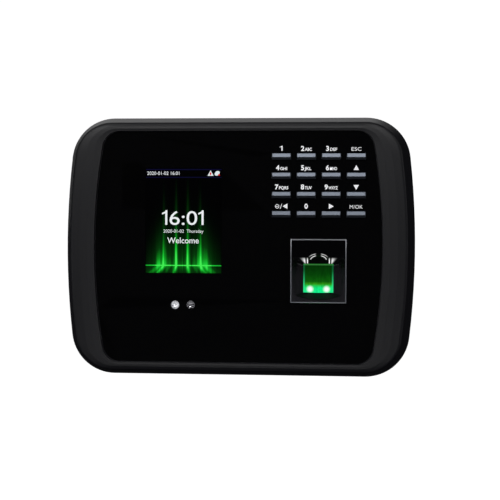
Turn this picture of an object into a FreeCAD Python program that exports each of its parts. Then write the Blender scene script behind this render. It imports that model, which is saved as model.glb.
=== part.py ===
import FreeCAD, Part
import math
import os

# Wall-mounted fingerprint terminal: a wide, low ABS case with bowed sides, a glossy front window
# over a portrait display, two face cameras, a keypad of sixteen slim keys and a recessed optical
# fingerprint reader. It hangs on four hooks of a sheet-steel wall plate.
#
# Frame: millimetres. The origin is the centre of the wall plate's back face, on the wall.
# +X is right as seen from the front, +Z is up, +Y points into the wall. Depths are given as "out",
# the distance in front of the wall, so that a point at depth out has y = -out.

V = FreeCAD.Vector

# ---- driving dimensions -------------------------------------------------------------------------

# Case outline, seen from the front.
BODY_W = 199.2          # widest, at half height
BODY_H = 146.8
BODY_BOW = 6.0          # how far each side falls back between half height and the top edge
BODY_CORNER_R = 25.0
WALL = 2.2              # moulded wall

# Front window outline.
WINDOW_W = 161.4
WINDOW_H = 129.6
WINDOW_BOW = 6.2
WINDOW_CORNER_R = 10.0
WINDOW_GAP = 0.15       # between the window and the edge of its pocket

# Depths, out from the wall.
PLATE_T = 1.5           # wall plate sheet
BACK = 0.8              # back face of the case
PARTING = 19.0          # where the two shells meet
DECK_BACK = 32.7        # inner face of the front deck
DECK = 34.6             # floor of the window pocket
MASK_FRONT = 34.8       # front of the mask film, back of the window
WINDOW_FRONT = 36.3
BEZEL_EDGE = 36.6       # bezel where it meets the window
KEY_FRONT = 37.2        # crest of the key caps

# Display, a 2.8 inch portrait module.
DISPLAY_X = -30.3
DISPLAY_Z = 14.6        # centre of the lit area
LIT_W, LIT_H = 42.8, 58.6
MODULE_W, MODULE_TOP, MODULE_BOTTOM = 50.0, 47.2, -22.0
MODULE_FRONT, CELL_T, MODULE_T = 34.5, 1.2, 2.6

# Cameras.
CAMERA_XS = (-34.9, -26.1)
CAMERA_Z = -32.6
CAMERA_HOLE_R = 2.3
CAMERA_BARREL_R = 3.6

# Keypad: four columns by four rows, from the top left.
KEY_NAMES = (
    ("key_1", "key_2", "key_3", "key_esc"),
    ("key_4", "key_5", "key_6", "key_up"),
    ("key_7", "key_8", "key_9", "key_down"),
    ("key_left", "key_0", "key_right", "key_ok"),
)
KEY_X0, KEY_Z0 = 24.5, 50.5
KEY_PITCH_X, KEY_PITCH_Z = 13.8, 10.68
KEY_W, KEY_H = 10.5, 3.5
KEY_SLOT_GAP = 0.2
KEY_TRAVEL = 0.6
KEY_FLANGE_W, KEY_FLANGE_H, KEY_FLANGE_T = 12.6, 6.0, 0.9
KEY_KNEE = -0.45        # height of the cap's crest, below its middle; the face under it leans back
MAT_BACK, MAT_T = 29.0, 0.8
BOARD_T = 1.2

# Fingerprint reader.
READER_X, READER_Z = 45.3, -13.0
READER_W, READER_H = 30.9, 35.4
READER_FRONT = 36.9
PRISM_Z = -17.0         # centre of the finger window
PRISM_W, PRISM_L = 16.7, 16.3
PRISM_OUT = 31.3        # depth of the finger window's centre
PRISM_TILT = 13.7       # degrees; the top of the finger window lies deeper
PRISM_T = 8.0
TROUGH_R = 18.0         # radius of the finger trough
LIP_Z, LIP_R = -28.9, 37.7      # lowest point and radius of the trough's lower edge
DOME_TOP, DOME_R = -3.9, 10.2   # hollow for the fingertip above the finger window

# Main board, parallel to the front.
BOARD_X0, BOARD_X1, BOARD_Z0, BOARD_Z1 = -72.0, 22.0, -64.0, 52.0
BOARD_BACK, MAIN_T = 20.5, 1.6

# Rear recess for the wall plate, and the connector bay inside it.
PLATE_W, PLATE_H = 118.0, 84.0
RECESS_HALF_W, RECESS_Z0, RECESS_Z1 = 62.0, -49.0, 43.0
RECESS_FLOOR, RECESS_T = 4.6, 2.0
BAY_X0, BAY_X1, BAY_Z0, BAY_Z1 = -46.0, 20.0, -30.0, 4.0
BAY_FLOOR = 16.5
BAY_WALL = 1.8

# Hooks, their slots and the lift that frees the terminal.
LIFT = 6.0
HOOK_XS, HOOK_ZS = (-54.0, 54.0), (26.0, -24.0)
HOOK_W, HOOK_LIP = 8.0, 4.5
HOOK_CLEAR = 0.2

# Wall screws and the security screw.
BOLT_X, BOLT_Z, BOLT_R = 38.0, 32.0, 2.25
FLANGE_HALF_W, FLANGE_OUT = 8.0, 12.5
SCREW_OUT, SCREW_R, SCREW_END = 8.0, 1.5, -33.5
CHANNEL_HALF_W, CHANNEL_OUT = 9.5, 14.0

# Tamper plunger and the ramp on the wall plate that presses it.
TAMPER_X, TAMPER_Z = 10.0, 31.0
TAMPER_R = 1.4
RAMP_RISE = 1.2         # over the lift, so the plunger moves 0.2 mm for each 1 mm of lift
RAMP_GAP = 0.06

# Reset button.
RESET_X, RESET_Z, RESET_R = 12.0, -20.0, 1.0

# Case screws.
CASE_XS, CASE_ZS = (-80.0, 80.0), (50.0, -50.0)
SEAT = 6.0              # depth of the screw seats in the rear shell


# ---- small tools --------------------------------------------------------------------------------

def block(x0, x1, out0, out1, z0, z1):
    """A box between two depths."""
    return Part.makeBox(x1 - x0, out1 - out0, z1 - z0, V(x0, -out1, z0))


def rod(x, z, radius, out0, out1):
    """A round rod along the depth."""
    return Part.makeCylinder(radius, out1 - out0, V(x, -out0, z), V(0, -1, 0))


def taper(x, z, r0, r1, out0, out1):
    """A cone frustum along the depth, r0 at out0 and r1 at out1."""
    return Part.makeCone(r0, r1, out1 - out0, V(x, -out0, z), V(0, -1, 0))


def post(x, out, radius, z0, z1):
    """A round rod along Z."""
    return Part.makeCylinder(radius, z1 - z0, V(x, -out, z0), V(0, 0, 1))


def slab(cx, cz, w, h, radius, out0, out1):
    """A rounded rectangle between two depths."""
    solid = block(cx - w / 2, cx + w / 2, out0, out1, cz - h / 2, cz + h / 2)
    edges = [e for e in solid.Edges if abs(e.tangentAt(e.FirstParameter).y) > 0.99]
    return solid.makeFillet(radius, edges)


def fuse(shapes):
    """One shape from several that touch or overlap."""
    return shapes[0].multiFuse(shapes[1:]).removeSplitter() if len(shapes) > 1 else shapes[0]


def cut(shape, tools):
    """The shape less several tools."""
    return shape.cut(Part.makeCompound(tools))


def bowed_outline(w, h, bow, corner_r, out):
    """Closed wire: straight top and bottom, bowed sides and tangent corner arcs, at one depth."""
    half_w, half_h = w / 2, h / 2
    side_r = (half_h ** 2 + bow ** 2) / (2 * bow)
    side_cx = half_w - side_r
    corner_z = half_h - corner_r
    corner_x = side_cx + math.sqrt((side_r - corner_r) ** 2 - corner_z ** 2)
    turn = math.atan2(corner_z, corner_x - side_cx)
    tangent = (side_cx + side_r * math.cos(turn), side_r * math.sin(turn))
    middle = (math.pi / 2 + turn) / 2
    corner = (corner_x + corner_r * math.cos(middle), corner_z + corner_r * math.sin(middle))

    def at(x, z):
        return V(x, -out, z)

    edges = [
        Part.LineSegment(at(-corner_x, half_h), at(corner_x, half_h)),
        Part.Arc(at(corner_x, half_h), at(*corner), at(*tangent)),
        Part.Arc(at(*tangent), at(half_w, 0), at(tangent[0], -tangent[1])),
        Part.Arc(at(tangent[0], -tangent[1]), at(corner[0], -corner[1]), at(corner_x, -half_h)),
        Part.LineSegment(at(corner_x, -half_h), at(-corner_x, -half_h)),
        Part.Arc(at(-corner_x, -half_h), at(-corner[0], -corner[1]), at(-tangent[0], -tangent[1])),
        Part.Arc(at(-tangent[0], -tangent[1]), at(-half_w, 0), at(-tangent[0], tangent[1])),
        Part.Arc(at(-tangent[0], tangent[1]), at(-corner[0], corner[1]), at(-corner_x, half_h)),
    ]
    return Part.Wire([e.toShape() for e in edges])


def body_size(inset):
    """Width, height, bow and corner radius of the case outline, inset by a little more at the sides."""
    return BODY_W - 2.26 * inset, BODY_H - 1.74 * inset, BODY_BOW, BODY_CORNER_R - inset


def body_outline(inset, out):
    """The case outline, inset all round."""
    return bowed_outline(*body_size(inset), out)


def window_outline(grow, out):
    """The window outline, grown all round."""
    return bowed_outline(
        WINDOW_W + 2 * grow, WINDOW_H + 2 * grow, WINDOW_BOW, WINDOW_CORNER_R + grow, out
    )


def bezel_outline(share, inset, out):
    """An outline between the case's inset one, at share 0, and the window's rim, at share 1."""
    rim = (WINDOW_W + 0.8, WINDOW_H + 0.8, WINDOW_BOW, WINDOW_CORNER_R + 0.4)
    return bowed_outline(*(a + (b - a) * share for a, b in zip(body_size(inset), rim)), out)


def prism_of(wire, out0, out1):
    """A solid with that outline between two depths; the wire lies at out0."""
    return Part.Face(wire).extrude(V(0, out0 - out1, 0))


def loft(wires):
    """A solid through the outlines, with straight walls between neighbours."""
    return Part.makeLoft(wires, True, True)


def key_places():
    """(name, x, z) of each key."""
    return [
        (name, KEY_X0 + column * KEY_PITCH_X, KEY_Z0 - row * KEY_PITCH_Z)
        for row, names in enumerate(KEY_NAMES)
        for column, name in enumerate(names)
    ]


def ribbon(points, radius, thickness, x0, x1):
    """A flat cable in the plane of depth and height; points are (out, z), with rounded bends."""
    corners = [V(0, -out, z) for out, z in points]
    edges, start = [], corners[0]
    for before, corner, after in zip(corners, corners[1:], corners[2:]):
        to_start, to_end = (before - corner).normalize(), (after - corner).normalize()
        half = to_start.getAngle(to_end) / 2
        reach = radius / math.tan(half)
        first, last = corner + to_start * reach, corner + to_end * reach
        inward = (to_start + to_end).normalize()
        middle = corner + inward * (radius / math.sin(half) - radius)
        edges += [Part.LineSegment(start, first), Part.Arc(first, middle, last)]
        start = last
    edges.append(Part.LineSegment(start, corners[-1]))
    path = Part.Wire([e.toShape() for e in edges])
    sheet = path.makeOffset2D(thickness, 0, True, True).extrude(V(x1 - x0, 0, 0))
    sheet.translate(V(x0, 0, 0))
    return sheet


# ---- case ---------------------------------------------------------------------------------------

KEYPAD_POSTS = [(x, z) for x in (20.0, 69.6) for z in (11.8, 58.2)]
MAIN_POSTS = [(x, z) for x in (BOARD_X0 + 4, BOARD_X1 - 9) for z in (BOARD_Z0 + 8, BOARD_Z1 - 4)]
BRACKET_POSTS = [(DISPLAY_X + dx, z) for dx in (-31.0, 31.0) for z in (40.0, -14.0)]
CAMERA_POSTS = [(sum(CAMERA_XS) / 2 + dx, CAMERA_Z) for dx in (-13.5, 13.5)]
READER_POSTS = [(READER_X + dx, READER_Z + dz) for dx in (-19.4, 19.4) for dz in (-12.0, 12.0)]
CASE_POSTS = [(x, z) for x in CASE_XS for z in CASE_ZS]
PLATE_BEAM = 0.8        # display bracket sheet


def front_shell():
    """Front half of the case: drafted sides, a crowned bezel and the deck behind the window."""
    crease = 5.7
    outer = loft([
        body_outline(0.0, PARTING),
        body_outline(0.0, PARTING + 2.0),
        body_outline(4.1, 34.6),
        body_outline(4.5, 35.5),
        body_outline(5.0, 36.0),
        body_outline(crease, 36.25),
        bezel_outline(0.35, crease, 36.65),
        bezel_outline(0.7, crease, 36.75),
        bezel_outline(1.0, crease, BEZEL_EDGE),
    ])
    cavity = loft([
        body_outline(WALL, PARTING - 0.1),
        body_outline(WALL, PARTING + 2.0),
        body_outline(6.2, DECK_BACK),
    ])
    pocket = prism_of(window_outline(WINDOW_GAP, DECK), DECK, KEY_FRONT)
    shell = cut(outer, [cavity, pocket])
    posts = [rod(x, z, 3.5, PARTING + 0.05, DECK_BACK) for x, z in CASE_POSTS]
    posts += [rod(x, z, 2.2, MAT_BACK, DECK_BACK) for x, z in KEYPAD_POSTS]
    posts += [rod(x, z, 2.8, BOARD_BACK + MAIN_T, DECK_BACK) for x, z in MAIN_POSTS]
    posts += [rod(x, z, 2.2, 31.8, DECK_BACK) for x, z in BRACKET_POSTS]
    posts += [rod(x, z, 2.0, MAT_BACK, DECK_BACK) for x, z in CAMERA_POSTS]
    posts += [rod(x, z, 2.0, 31.2, DECK_BACK) for x, z in READER_POSTS]
    shell = fuse([shell] + posts)
    holes = [rod(x, z, 1.45, PARTING, 30.0) for x, z in CASE_POSTS]
    holes += [rod(x, z, 0.85, MAT_BACK - 1, 33.0) for x, z in KEYPAD_POSTS + CAMERA_POSTS]
    holes += [rod(x, z, 1.15, BOARD_BACK, 29.0) for x, z in MAIN_POSTS]
    holes += [rod(x, z, 0.85, 30.0, 34.0) for x, z in BRACKET_POSTS + READER_POSTS]
    module_h = MODULE_TOP - MODULE_BOTTOM
    module_z = (MODULE_TOP + MODULE_BOTTOM) / 2
    holes.append(slab(DISPLAY_X, module_z, MODULE_W + 0.5, module_h + 0.5, 1.0, 31.0, 35.0))
    holes.append(slab(READER_X, READER_Z, READER_W + 0.4, READER_H + 0.4, 1.2, 31.0, 35.0))
    holes += [rod(x, CAMERA_Z, CAMERA_BARREL_R + 0.2, 31.0, 35.0) for x in CAMERA_XS]
    slot_w, slot_h = KEY_W + 4 * KEY_SLOT_GAP, KEY_H + 4 * KEY_SLOT_GAP
    holes += [slab(x, z, slot_w, slot_h, 0.6, 31.0, 35.0) for _, x, z in key_places()]
    holes.append(block(USB_X - USB_W / 2 - CONNECTOR_GAP, USB_X + USB_W / 2 + CONNECTOR_GAP,
                       PARTING - 1.0, BOARD_BACK + CONNECTOR_GAP, -75.0, -65.0))
    return cut(shell, holes)


def hook_slots():
    """The slots in the recess floor that the wall plate's hooks pass through."""
    return [
        block(x - HOOK_W / 2 - HOOK_CLEAR, x + HOOK_W / 2 + HOOK_CLEAR,
              RECESS_FLOOR - 0.5, RECESS_FLOOR + RECESS_T + 0.5,
              z - LIFT - 0.3, z + PLATE_T + 0.05)
        for x in HOOK_XS for z in HOOK_ZS
    ]


def grille():
    """Slots in the back wall in front of the speaker."""
    return [slab(SPEAKER_X, z, 13.0, 1.6, 0.7, 0.0, 4.5) for z in range(-12, 13, 4)]


SPEAKER_X = -77.0
CONNECTOR_GAP = 0.2
ETHERNET_X, ETHERNET_W, ETHERNET_OUT = 9.0, 16.0, 7.0
JACK_X, JACK_W, JACK_OUT = -6.5, 9.0, 9.5
HEADER_XS, HEADER_W, HEADER_OUT = (-17.5, -28.5, -39.5), 9.8, 13.8
USB_X, USB_W, USB_OUT, USB_TOP = -53.0, 14.5, 13.5, -57.0
USB_MOUTH = -71.0


def rear_shell():
    """Back half of the case, with the plate recess, the connector bay and the screw channel."""
    outer = loft([
        body_outline(0.5, PARTING - 0.05),
        body_outline(0.5, 17.5),
        body_outline(2.6, 6.0),
        body_outline(4.2, 2.8),
        body_outline(6.2, 1.3),
        body_outline(8.6, BACK),
    ])
    cavity = loft([
        body_outline(0.5 + WALL, PARTING + 0.1),
        body_outline(0.5 + WALL, 17.5),
        body_outline(2.7 + WALL, 6.0),
        body_outline(5.0 + WALL, BACK + 2.4),
    ])
    ribs = [
        block(-RECESS_HALF_W - BAY_WALL, RECESS_HALF_W + BAY_WALL, BACK, RECESS_FLOOR + RECESS_T,
              RECESS_Z0 - BAY_WALL, RECESS_Z1 + BAY_WALL),
        block(BAY_X0 - BAY_WALL, BAY_X1 + BAY_WALL, RECESS_FLOOR, BAY_FLOOR + BAY_WALL,
              BAY_Z0 - BAY_WALL, BAY_Z1 + BAY_WALL),
        block(-CHANNEL_HALF_W - BAY_WALL, CHANNEL_HALF_W + BAY_WALL, BACK, CHANNEL_OUT + BAY_WALL,
              -BODY_H / 2, BAY_Z0 - BAY_WALL),
    ]
    ribs += [rod(x, z, 4.5, BACK + 1, PARTING - 0.05) for x, z in CASE_POSTS]
    inside = fuse(ribs).common(outer)
    shell = fuse([outer.cut(cavity), inside])
    flange_top = PLATE_T - PLATE_H / 2
    tools = [
        block(-RECESS_HALF_W, RECESS_HALF_W, -1.0, RECESS_FLOOR, RECESS_Z0, RECESS_Z1),
        block(BAY_X0, BAY_X1, -1.0, BAY_FLOOR, BAY_Z0, BAY_Z1),
        block(-CHANNEL_HALF_W, CHANNEL_HALF_W, -1.0, CHANNEL_OUT, -80.0, flange_top + 0.1),
        post(0.0, SCREW_OUT, SCREW_R + 0.05, -45.0, SCREW_END + 0.5),
        rod(TAMPER_X, TAMPER_Z, TAMPER_R + 0.08, RECESS_FLOOR - 1, RECESS_FLOOR + RECESS_T + 1),
        rod(RESET_X, RESET_Z, RESET_R + 0.4, BAY_FLOOR - 1, BAY_FLOOR + BAY_WALL + 1),
    ]
    tools += hook_slots() + grille() + connector_windows()
    tools += [rod(x, z, 3.3, 0.0, SEAT) for x, z in CASE_POSTS]
    tools += [rod(x, z, 1.6, 0.0, PARTING) for x, z in CASE_POSTS]
    return cut(shell, tools)


def connector_windows():
    """Windows in the top wall of the bay, and the one for the USB socket in the bottom wall."""
    gap = CONNECTOR_GAP
    faces = [(ETHERNET_X, ETHERNET_W, ETHERNET_OUT), (JACK_X, JACK_W, JACK_OUT)]
    faces += [(x, HEADER_W, HEADER_OUT) for x in HEADER_XS]
    windows = [
        block(x - w / 2 - gap, x + w / 2 + gap, out - gap, PARTING, BAY_Z1 - 0.5, BAY_Z1 + 2.5)
        for x, w, out in faces
    ]
    windows.append(block(USB_X - USB_W / 2 - gap, USB_X + USB_W / 2 + gap, USB_OUT - gap,
                         PARTING + 0.5, -75.0, -65.0))
    return windows


def front_window():
    """Clear acrylic sheet with a slot for each key and the opening for the reader."""
    sheet = prism_of(window_outline(0.0, MASK_FRONT), MASK_FRONT, WINDOW_FRONT)
    return cut(sheet, window_cuts())


def window_cuts():
    """The key slots and the reader's opening, through the window and the film behind it."""
    slot_w, slot_h = KEY_W + 2 * KEY_SLOT_GAP, KEY_H + 2 * KEY_SLOT_GAP
    cuts = [block(x - slot_w / 2, x + slot_w / 2, DECK, KEY_FRONT, z - slot_h / 2, z + slot_h / 2)
            for _, x, z in key_places()]
    cuts.append(slab(READER_X, READER_Z, READER_W + 0.3, READER_H + 0.3, 1.1, DECK, KEY_FRONT))
    return cuts


def window_mask():
    """Black film behind the window, open over the display's lit area and the cameras."""
    film = prism_of(window_outline(-0.3, DECK + 0.05), DECK + 0.05, MASK_FRONT)
    openings = [slab(DISPLAY_X, DISPLAY_Z, LIT_W + 0.6, LIT_H + 0.6, 0.4, DECK, WINDOW_FRONT)]
    openings += [rod(x, CAMERA_Z, CAMERA_HOLE_R, DECK, WINDOW_FRONT) for x in CAMERA_XS]
    return cut(film, window_cuts() + openings)


# ---- keypad -------------------------------------------------------------------------------------

def key_cap(x, z):
    """One key: a bar whose front leans up over a steep lower edge, a flange and a stem on the mat."""
    flange_front = DECK_BACK - 0.1
    flange_back = flange_front - KEY_FLANGE_T
    top, foot = KEY_H / 2, -KEY_H / 2
    profile = [
        (flange_front, foot), (KEY_FRONT - 0.85, foot), (KEY_FRONT - 0.08, KEY_KNEE - 0.12),
        (KEY_FRONT, KEY_KNEE + 0.1), (KEY_FRONT - 0.3, top - 0.2), (KEY_FRONT - 0.5, top),
        (flange_front, top),
    ]
    points = [V(-KEY_W / 2, -out, height) for out, height in profile]
    bar = Part.Face(Part.makePolygon(points + points[:1])).extrude(V(KEY_W, 0, 0))
    ends = [
        e for e in bar.Edges
        if abs(abs(e.CenterOfMass.x) - KEY_W / 2) < 1e-6 and -e.CenterOfMass.y > KEY_FRONT - 0.6
    ]
    bar = bar.makeChamfer(0.3, ends)
    bar.translate(V(x, 0, z))
    flange = slab(x, z, KEY_FLANGE_W, KEY_FLANGE_H, 0.5, flange_back, flange_front)
    stem = slab(x, z, 5.0, 2.6, 0.5, MAT_BACK + 1.45 + KEY_TRAVEL, flange_back)
    return fuse([bar, flange, stem])


def keypad_mat():
    """Silicone sheet with a hollow dome under each key, the domes at their pressed height."""
    sheet = block(17.0, 72.8, MAT_BACK, MAT_BACK + MAT_T, 14.4, 55.6)
    domes = [taper(x, z, 3.4, 2.4, MAT_BACK + MAT_T, MAT_BACK + 1.4) for _, x, z in key_places()]
    hollows = [rod(x, z, 2.1, MAT_BACK, MAT_BACK + 0.8) for _, x, z in key_places()]
    return cut(fuse([sheet] + domes), hollows)


def keypad_board():
    """Contact board behind the mat."""
    board = block(16.6, 73.0, MAT_BACK - BOARD_T, MAT_BACK, 9.4, 60.6)
    return cut(board, [rod(x, z, 1.0, 27.0, 30.0) for x, z in KEYPAD_POSTS])


def small_screw(x, z, seat, length, shank_r, head_r, head_t):
    """Pan-head screw whose shank runs out from its seat; the head lies on the wall side."""
    parts = [rod(x, z, shank_r, seat, seat + length), rod(x, z, head_r, seat - head_t, seat)]
    screw = fuse(parts)
    slot = head_r * 0.6
    cross = [
        block(x - slot, x + slot, seat - head_t - 0.1, seat - head_t * 0.45, z - 0.22, z + 0.22),
        block(x - 0.22, x + 0.22, seat - head_t - 0.1, seat - head_t * 0.45, z - slot, z + slot),
    ]
    return cut(screw, cross)


def board_screws():
    """The small screws that hold the keypad, camera and reader boards and the display bracket."""
    places = [(x, z, MAT_BACK - BOARD_T) for x, z in KEYPAD_POSTS]
    places += [(x, z, MAT_BACK - 1.0) for x, z in CAMERA_POSTS]
    places += [(x, z, 31.8 - PLATE_BEAM) for x, z in BRACKET_POSTS]
    screws = [small_screw(x, z, seat, 4.0 if seat < 30 else 2.8, 0.8, 1.6, 1.0) for x, z, seat in places]
    screws += [small_screw(x, z, BOARD_BACK, 7.0, 1.1, 2.3, 1.5) for x, z in MAIN_POSTS]
    screws += [small_screw(x, z, 29.8, 3.8, 0.8, 1.6, 1.0) for x, z in READER_POSTS]
    return Part.makeCompound(screws)


def case_screws():
    """The four screws that pull the shells together from behind."""
    return Part.makeCompound([small_screw(x, z, SEAT, 22.0, 1.4, 2.8, 2.0) for x, z in CASE_POSTS])


# ---- display and cameras ------------------------------------------------------------------------

def display_glass():
    """The liquid-crystal cell, bare of its backlight."""
    height = MODULE_TOP - MODULE_BOTTOM - 1.6
    centre = (MODULE_TOP + MODULE_BOTTOM) / 2
    return block(DISPLAY_X - MODULE_W / 2 + 0.8, DISPLAY_X + MODULE_W / 2 - 0.8,
                 MODULE_FRONT - CELL_T, MODULE_FRONT, centre - height / 2, centre + height / 2)


def display_backlight():
    """Backlight tray around and behind the cell."""
    back = MODULE_FRONT - MODULE_T
    centre = (MODULE_TOP + MODULE_BOTTOM) / 2
    height = MODULE_TOP - MODULE_BOTTOM
    tray = slab(DISPLAY_X, centre, MODULE_W, height, 0.6, back, MODULE_FRONT - 0.1)
    inside = block(DISPLAY_X - MODULE_W / 2 + 0.75, DISPLAY_X + MODULE_W / 2 - 0.75,
                   MODULE_FRONT - CELL_T - 0.02, MODULE_FRONT + 1,
                   centre - height / 2 + 0.75, centre + height / 2 - 0.75)
    return tray.cut(inside)


def display_bracket():
    """Steel frame that clamps the display to the deck."""
    out0, out1 = 31.8 - PLATE_BEAM, 31.8
    sheet = slab(DISPLAY_X, 12.6, 66.8, 73.0, 2.0, out0, out1)
    tools = [slab(DISPLAY_X, 14.0, 40.0, 52.0, 3.0, out0 - 1, out1 + 1)]
    tools += [rod(x, z, 1.0, out0 - 1, out1 + 1) for x, z in BRACKET_POSTS]
    return cut(sheet, tools)


def camera_board():
    """Small board that carries both cameras."""
    centre = sum(CAMERA_XS) / 2
    board = block(centre - 16.5, centre + 16.5, MAT_BACK - 1.0, MAT_BACK, CAMERA_Z - 5, CAMERA_Z + 5)
    return cut(board, [rod(x, z, 1.0, 27.0, 30.0) for x, z in CAMERA_POSTS])


def camera_barrel(x):
    """Threaded lens barrel on the camera board, bored for its lens."""
    front = MODULE_FRONT
    barrel = fuse([
        block(x - 3.9, x + 3.9, MAT_BACK, 31.0, CAMERA_Z - 3.9, CAMERA_Z + 3.9),
        rod(x, CAMERA_Z, CAMERA_BARREL_R, 31.0, front),
    ])
    return cut(barrel, [
        rod(x, CAMERA_Z, 2.35, front - 2.6, front + 1),
        rod(x, CAMERA_Z, 1.2, front - 4.0, front),
    ])


def camera_lens(x):
    """Domed glass lens in the barrel."""
    seat, crest, radius = MODULE_FRONT - 2.6, MODULE_FRONT - 0.1, 2.3
    rim = seat + 1.6
    rise = crest - rim
    sphere_r = (radius ** 2 + rise ** 2) / (2 * rise)
    ball = Part.makeSphere(sphere_r, V(x, -(crest - sphere_r), CAMERA_Z))
    return rod(x, CAMERA_Z, radius, seat, crest).common(ball)


def camera_lenses():
    """The two lenses."""
    return Part.makeCompound([camera_lens(x) for x in CAMERA_XS])


# ---- fingerprint reader -------------------------------------------------------------------------

def on_prism(shape):
    """Moves a shape made with the finger window in the plane out = 0 to its tilted place."""
    shape = shape.copy()
    shape.rotate(V(0, 0, 0), V(1, 0, 0), -PRISM_TILT)
    shape.translate(V(READER_X, -PRISM_OUT, PRISM_Z))
    return shape


def reader_bezel():
    """Glossy surround with the finger trough, its rounded end, and a lip that faces up."""
    rim = slab(READER_X, READER_Z, READER_W, READER_H, 1.0, 32.6, READER_FRONT)
    rim = rim.makeChamfer(0.5, [e for e in rim.Edges if abs(e.CenterOfMass.y + READER_FRONT) < 1e-3])
    flange = slab(READER_X, READER_Z, READER_W + 11.0, READER_H - 4.0, 2.0, 30.8 - 1.0, 31.2)
    collar = slab(READER_X, READER_Z, READER_W, READER_H, 1.0, 29.8, 32.6)
    body = block(READER_X - 12.5, READER_X + 12.5, 23.0, 30.0, READER_Z - 16.5, READER_Z + 9.5)
    solid = fuse([rim, collar, flange, body])
    half_w = READER_W / 2 - 1.4
    axis = math.sqrt(TROUGH_R ** 2 - (PRISM_W / 2) ** 2)
    trough = on_prism(Part.makeCylinder(TROUGH_R, 50.0, V(0, -axis, -25.0), V(0, 0, 1)))
    profile = [(45.0, 0.0), (READER_FRONT, -6.0), (28.0, -8.9), (20.0, -8.9), (20.0, -45.0), (45.0, -45.0)]
    points = [V(READER_X - half_w, -out, z) for out, z in profile]
    ends = Part.Face(Part.makePolygon(points + points[:1])).extrude(V(2 * half_w, 0, 0))
    lip = taper(READER_X, LIP_Z + LIP_R, LIP_R - 8.0, LIP_R + 2.0, READER_FRONT - 13.0, READER_FRONT + 3.25)
    dome_z = DOME_TOP - DOME_R
    dome = Part.makeSphere(DOME_R, V(READER_X, -READER_FRONT + 0.9, dome_z))
    frame = slab(READER_X, READER_Z, READER_W - 2.8, READER_H - 2.8, 0.6, 20.0, READER_FRONT + 12)
    upper = block(READER_X - 15, READER_X + 15, 20.0, 50.0, dome_z, 0.0)
    scoop = fuse([trough.common(ends).common(lip), dome.common(upper)]).common(frame)
    aperture = on_prism(Part.makeBox(PRISM_W + 0.3, 30, PRISM_L + 0.3,
                                     V(-PRISM_W / 2 - 0.15, -3.0, -PRISM_L / 2 - 0.15)))
    lights = block(READER_X - 8.4, READER_X + 8.4, 22.0, 29.6, -32.0, -26.6)
    screws = [rod(x, z, 1.0, 28.0, 32.0) for x, z in READER_POSTS]
    return cut(solid, [scoop, aperture, lights] + screws)


def reader_prism():
    """Glass block whose tilted front face takes the finger."""
    face = Part.makeBox(PRISM_W, PRISM_T, PRISM_L, V(-PRISM_W / 2, 0, -PRISM_L / 2))
    front = [e for e in face.Edges if abs(e.CenterOfMass.y) < 1e-6]
    return on_prism(face.makeChamfer(0.35, front))


def reader_holder():
    """Box behind the prism that keeps stray light off the image sensor."""
    x0, x1, z0, z1 = READER_X - 14.5, READER_X + 14.5, READER_Z - 17.5, READER_Z + 10.5
    outer = block(x0, x1, 12.0, 22.9, z0, z1)
    return outer.cut(block(x0 + 1.5, x1 - 1.5, 11.0, 21.3, z0 + 1.5, z1 - 1.5)).cut(
        block(READER_X - 8.9, READER_X + 8.9, 20.0, 24.0, PRISM_Z - 8, PRISM_Z + 8))


def reader_lens():
    """Imaging lens between the prism and the image sensor."""
    return fuse([rod(READER_X, PRISM_Z, 4.0, 13.2, 17.0), rod(READER_X, PRISM_Z, 2.6, 17.0, 18.5)])


def reader_board():
    """Image sensor board across the back of the holder."""
    board = block(READER_X - 14.5, READER_X + 14.5, 10.8, 11.95, READER_Z - 17.5, READER_Z + 10.5)
    chip = block(READER_X - 4, READER_X + 4, 11.95, 13.15, PRISM_Z - 4, PRISM_Z + 4)
    return fuse([board, chip])


def reader_lights():
    """Light board under the lower edge of the prism, with two green lamps."""
    z = PRISM_Z - PRISM_L / 2 - 3.4
    board = Part.makeBox(PRISM_W - 1, 5.0, 0.8, V(-PRISM_W / 2 + 0.5, 0.6, 0))
    lamps = [Part.makeBox(2.4, 1.8, 1.0, V(dx - 1.2, 1.4, 0.8)) for dx in (-4.8, 4.8)]
    lights = fuse([board] + lamps)
    lights.translate(V(READER_X, -29.6, z))
    return lights


# ---- electronics --------------------------------------------------------------------------------

def main_board():
    """Main board, with holes for its screws."""
    board = block(BOARD_X0, BOARD_X1, BOARD_BACK, BOARD_BACK + MAIN_T, BOARD_Z0, BOARD_Z1)
    return cut(board, [rod(x, z, 1.4, 19.0, 24.0) for x, z in MAIN_POSTS])


def processor():
    """Processor package on the front of the main board."""
    front = BOARD_BACK + MAIN_T
    return fuse([block(-34.0, -14.0, front, front + 1.1, 8.0, 28.0),
                 block(-32.0, -16.0, front + 1.1, front + 1.6, 10.0, 26.0)])


def memory_chips():
    """Flash and working memory beside the processor."""
    front = BOARD_BACK + MAIN_T
    return Part.makeCompound([block(-10.0, 2.0, front, front + 1.2, z, z + 14.0) for z in (6.0, 24.0)])


def relay():
    """Door-lock relay on the back of the main board."""
    return slab(-60.0, 24.0, 15.0, 19.0, 0.6, BOARD_BACK - 10.0, BOARD_BACK)


def capacitors():
    """Three supply capacitors above the power jack."""
    cans = [rod(x, 34.0, 3.1, BOARD_BACK - 8.0, BOARD_BACK) for x in (-8.0, -16.0, -24.0)]
    return Part.makeCompound(cans)


def clock_cell():
    """Coin cell that keeps the clock, in its holder."""
    front = BOARD_BACK + MAIN_T
    holder = rod(-50.0, -40.0, 11.0, front, front + 1.2)
    return fuse([holder, rod(-50.0, -40.0, 10.0, front + 1.2, front + 3.6)])


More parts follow.
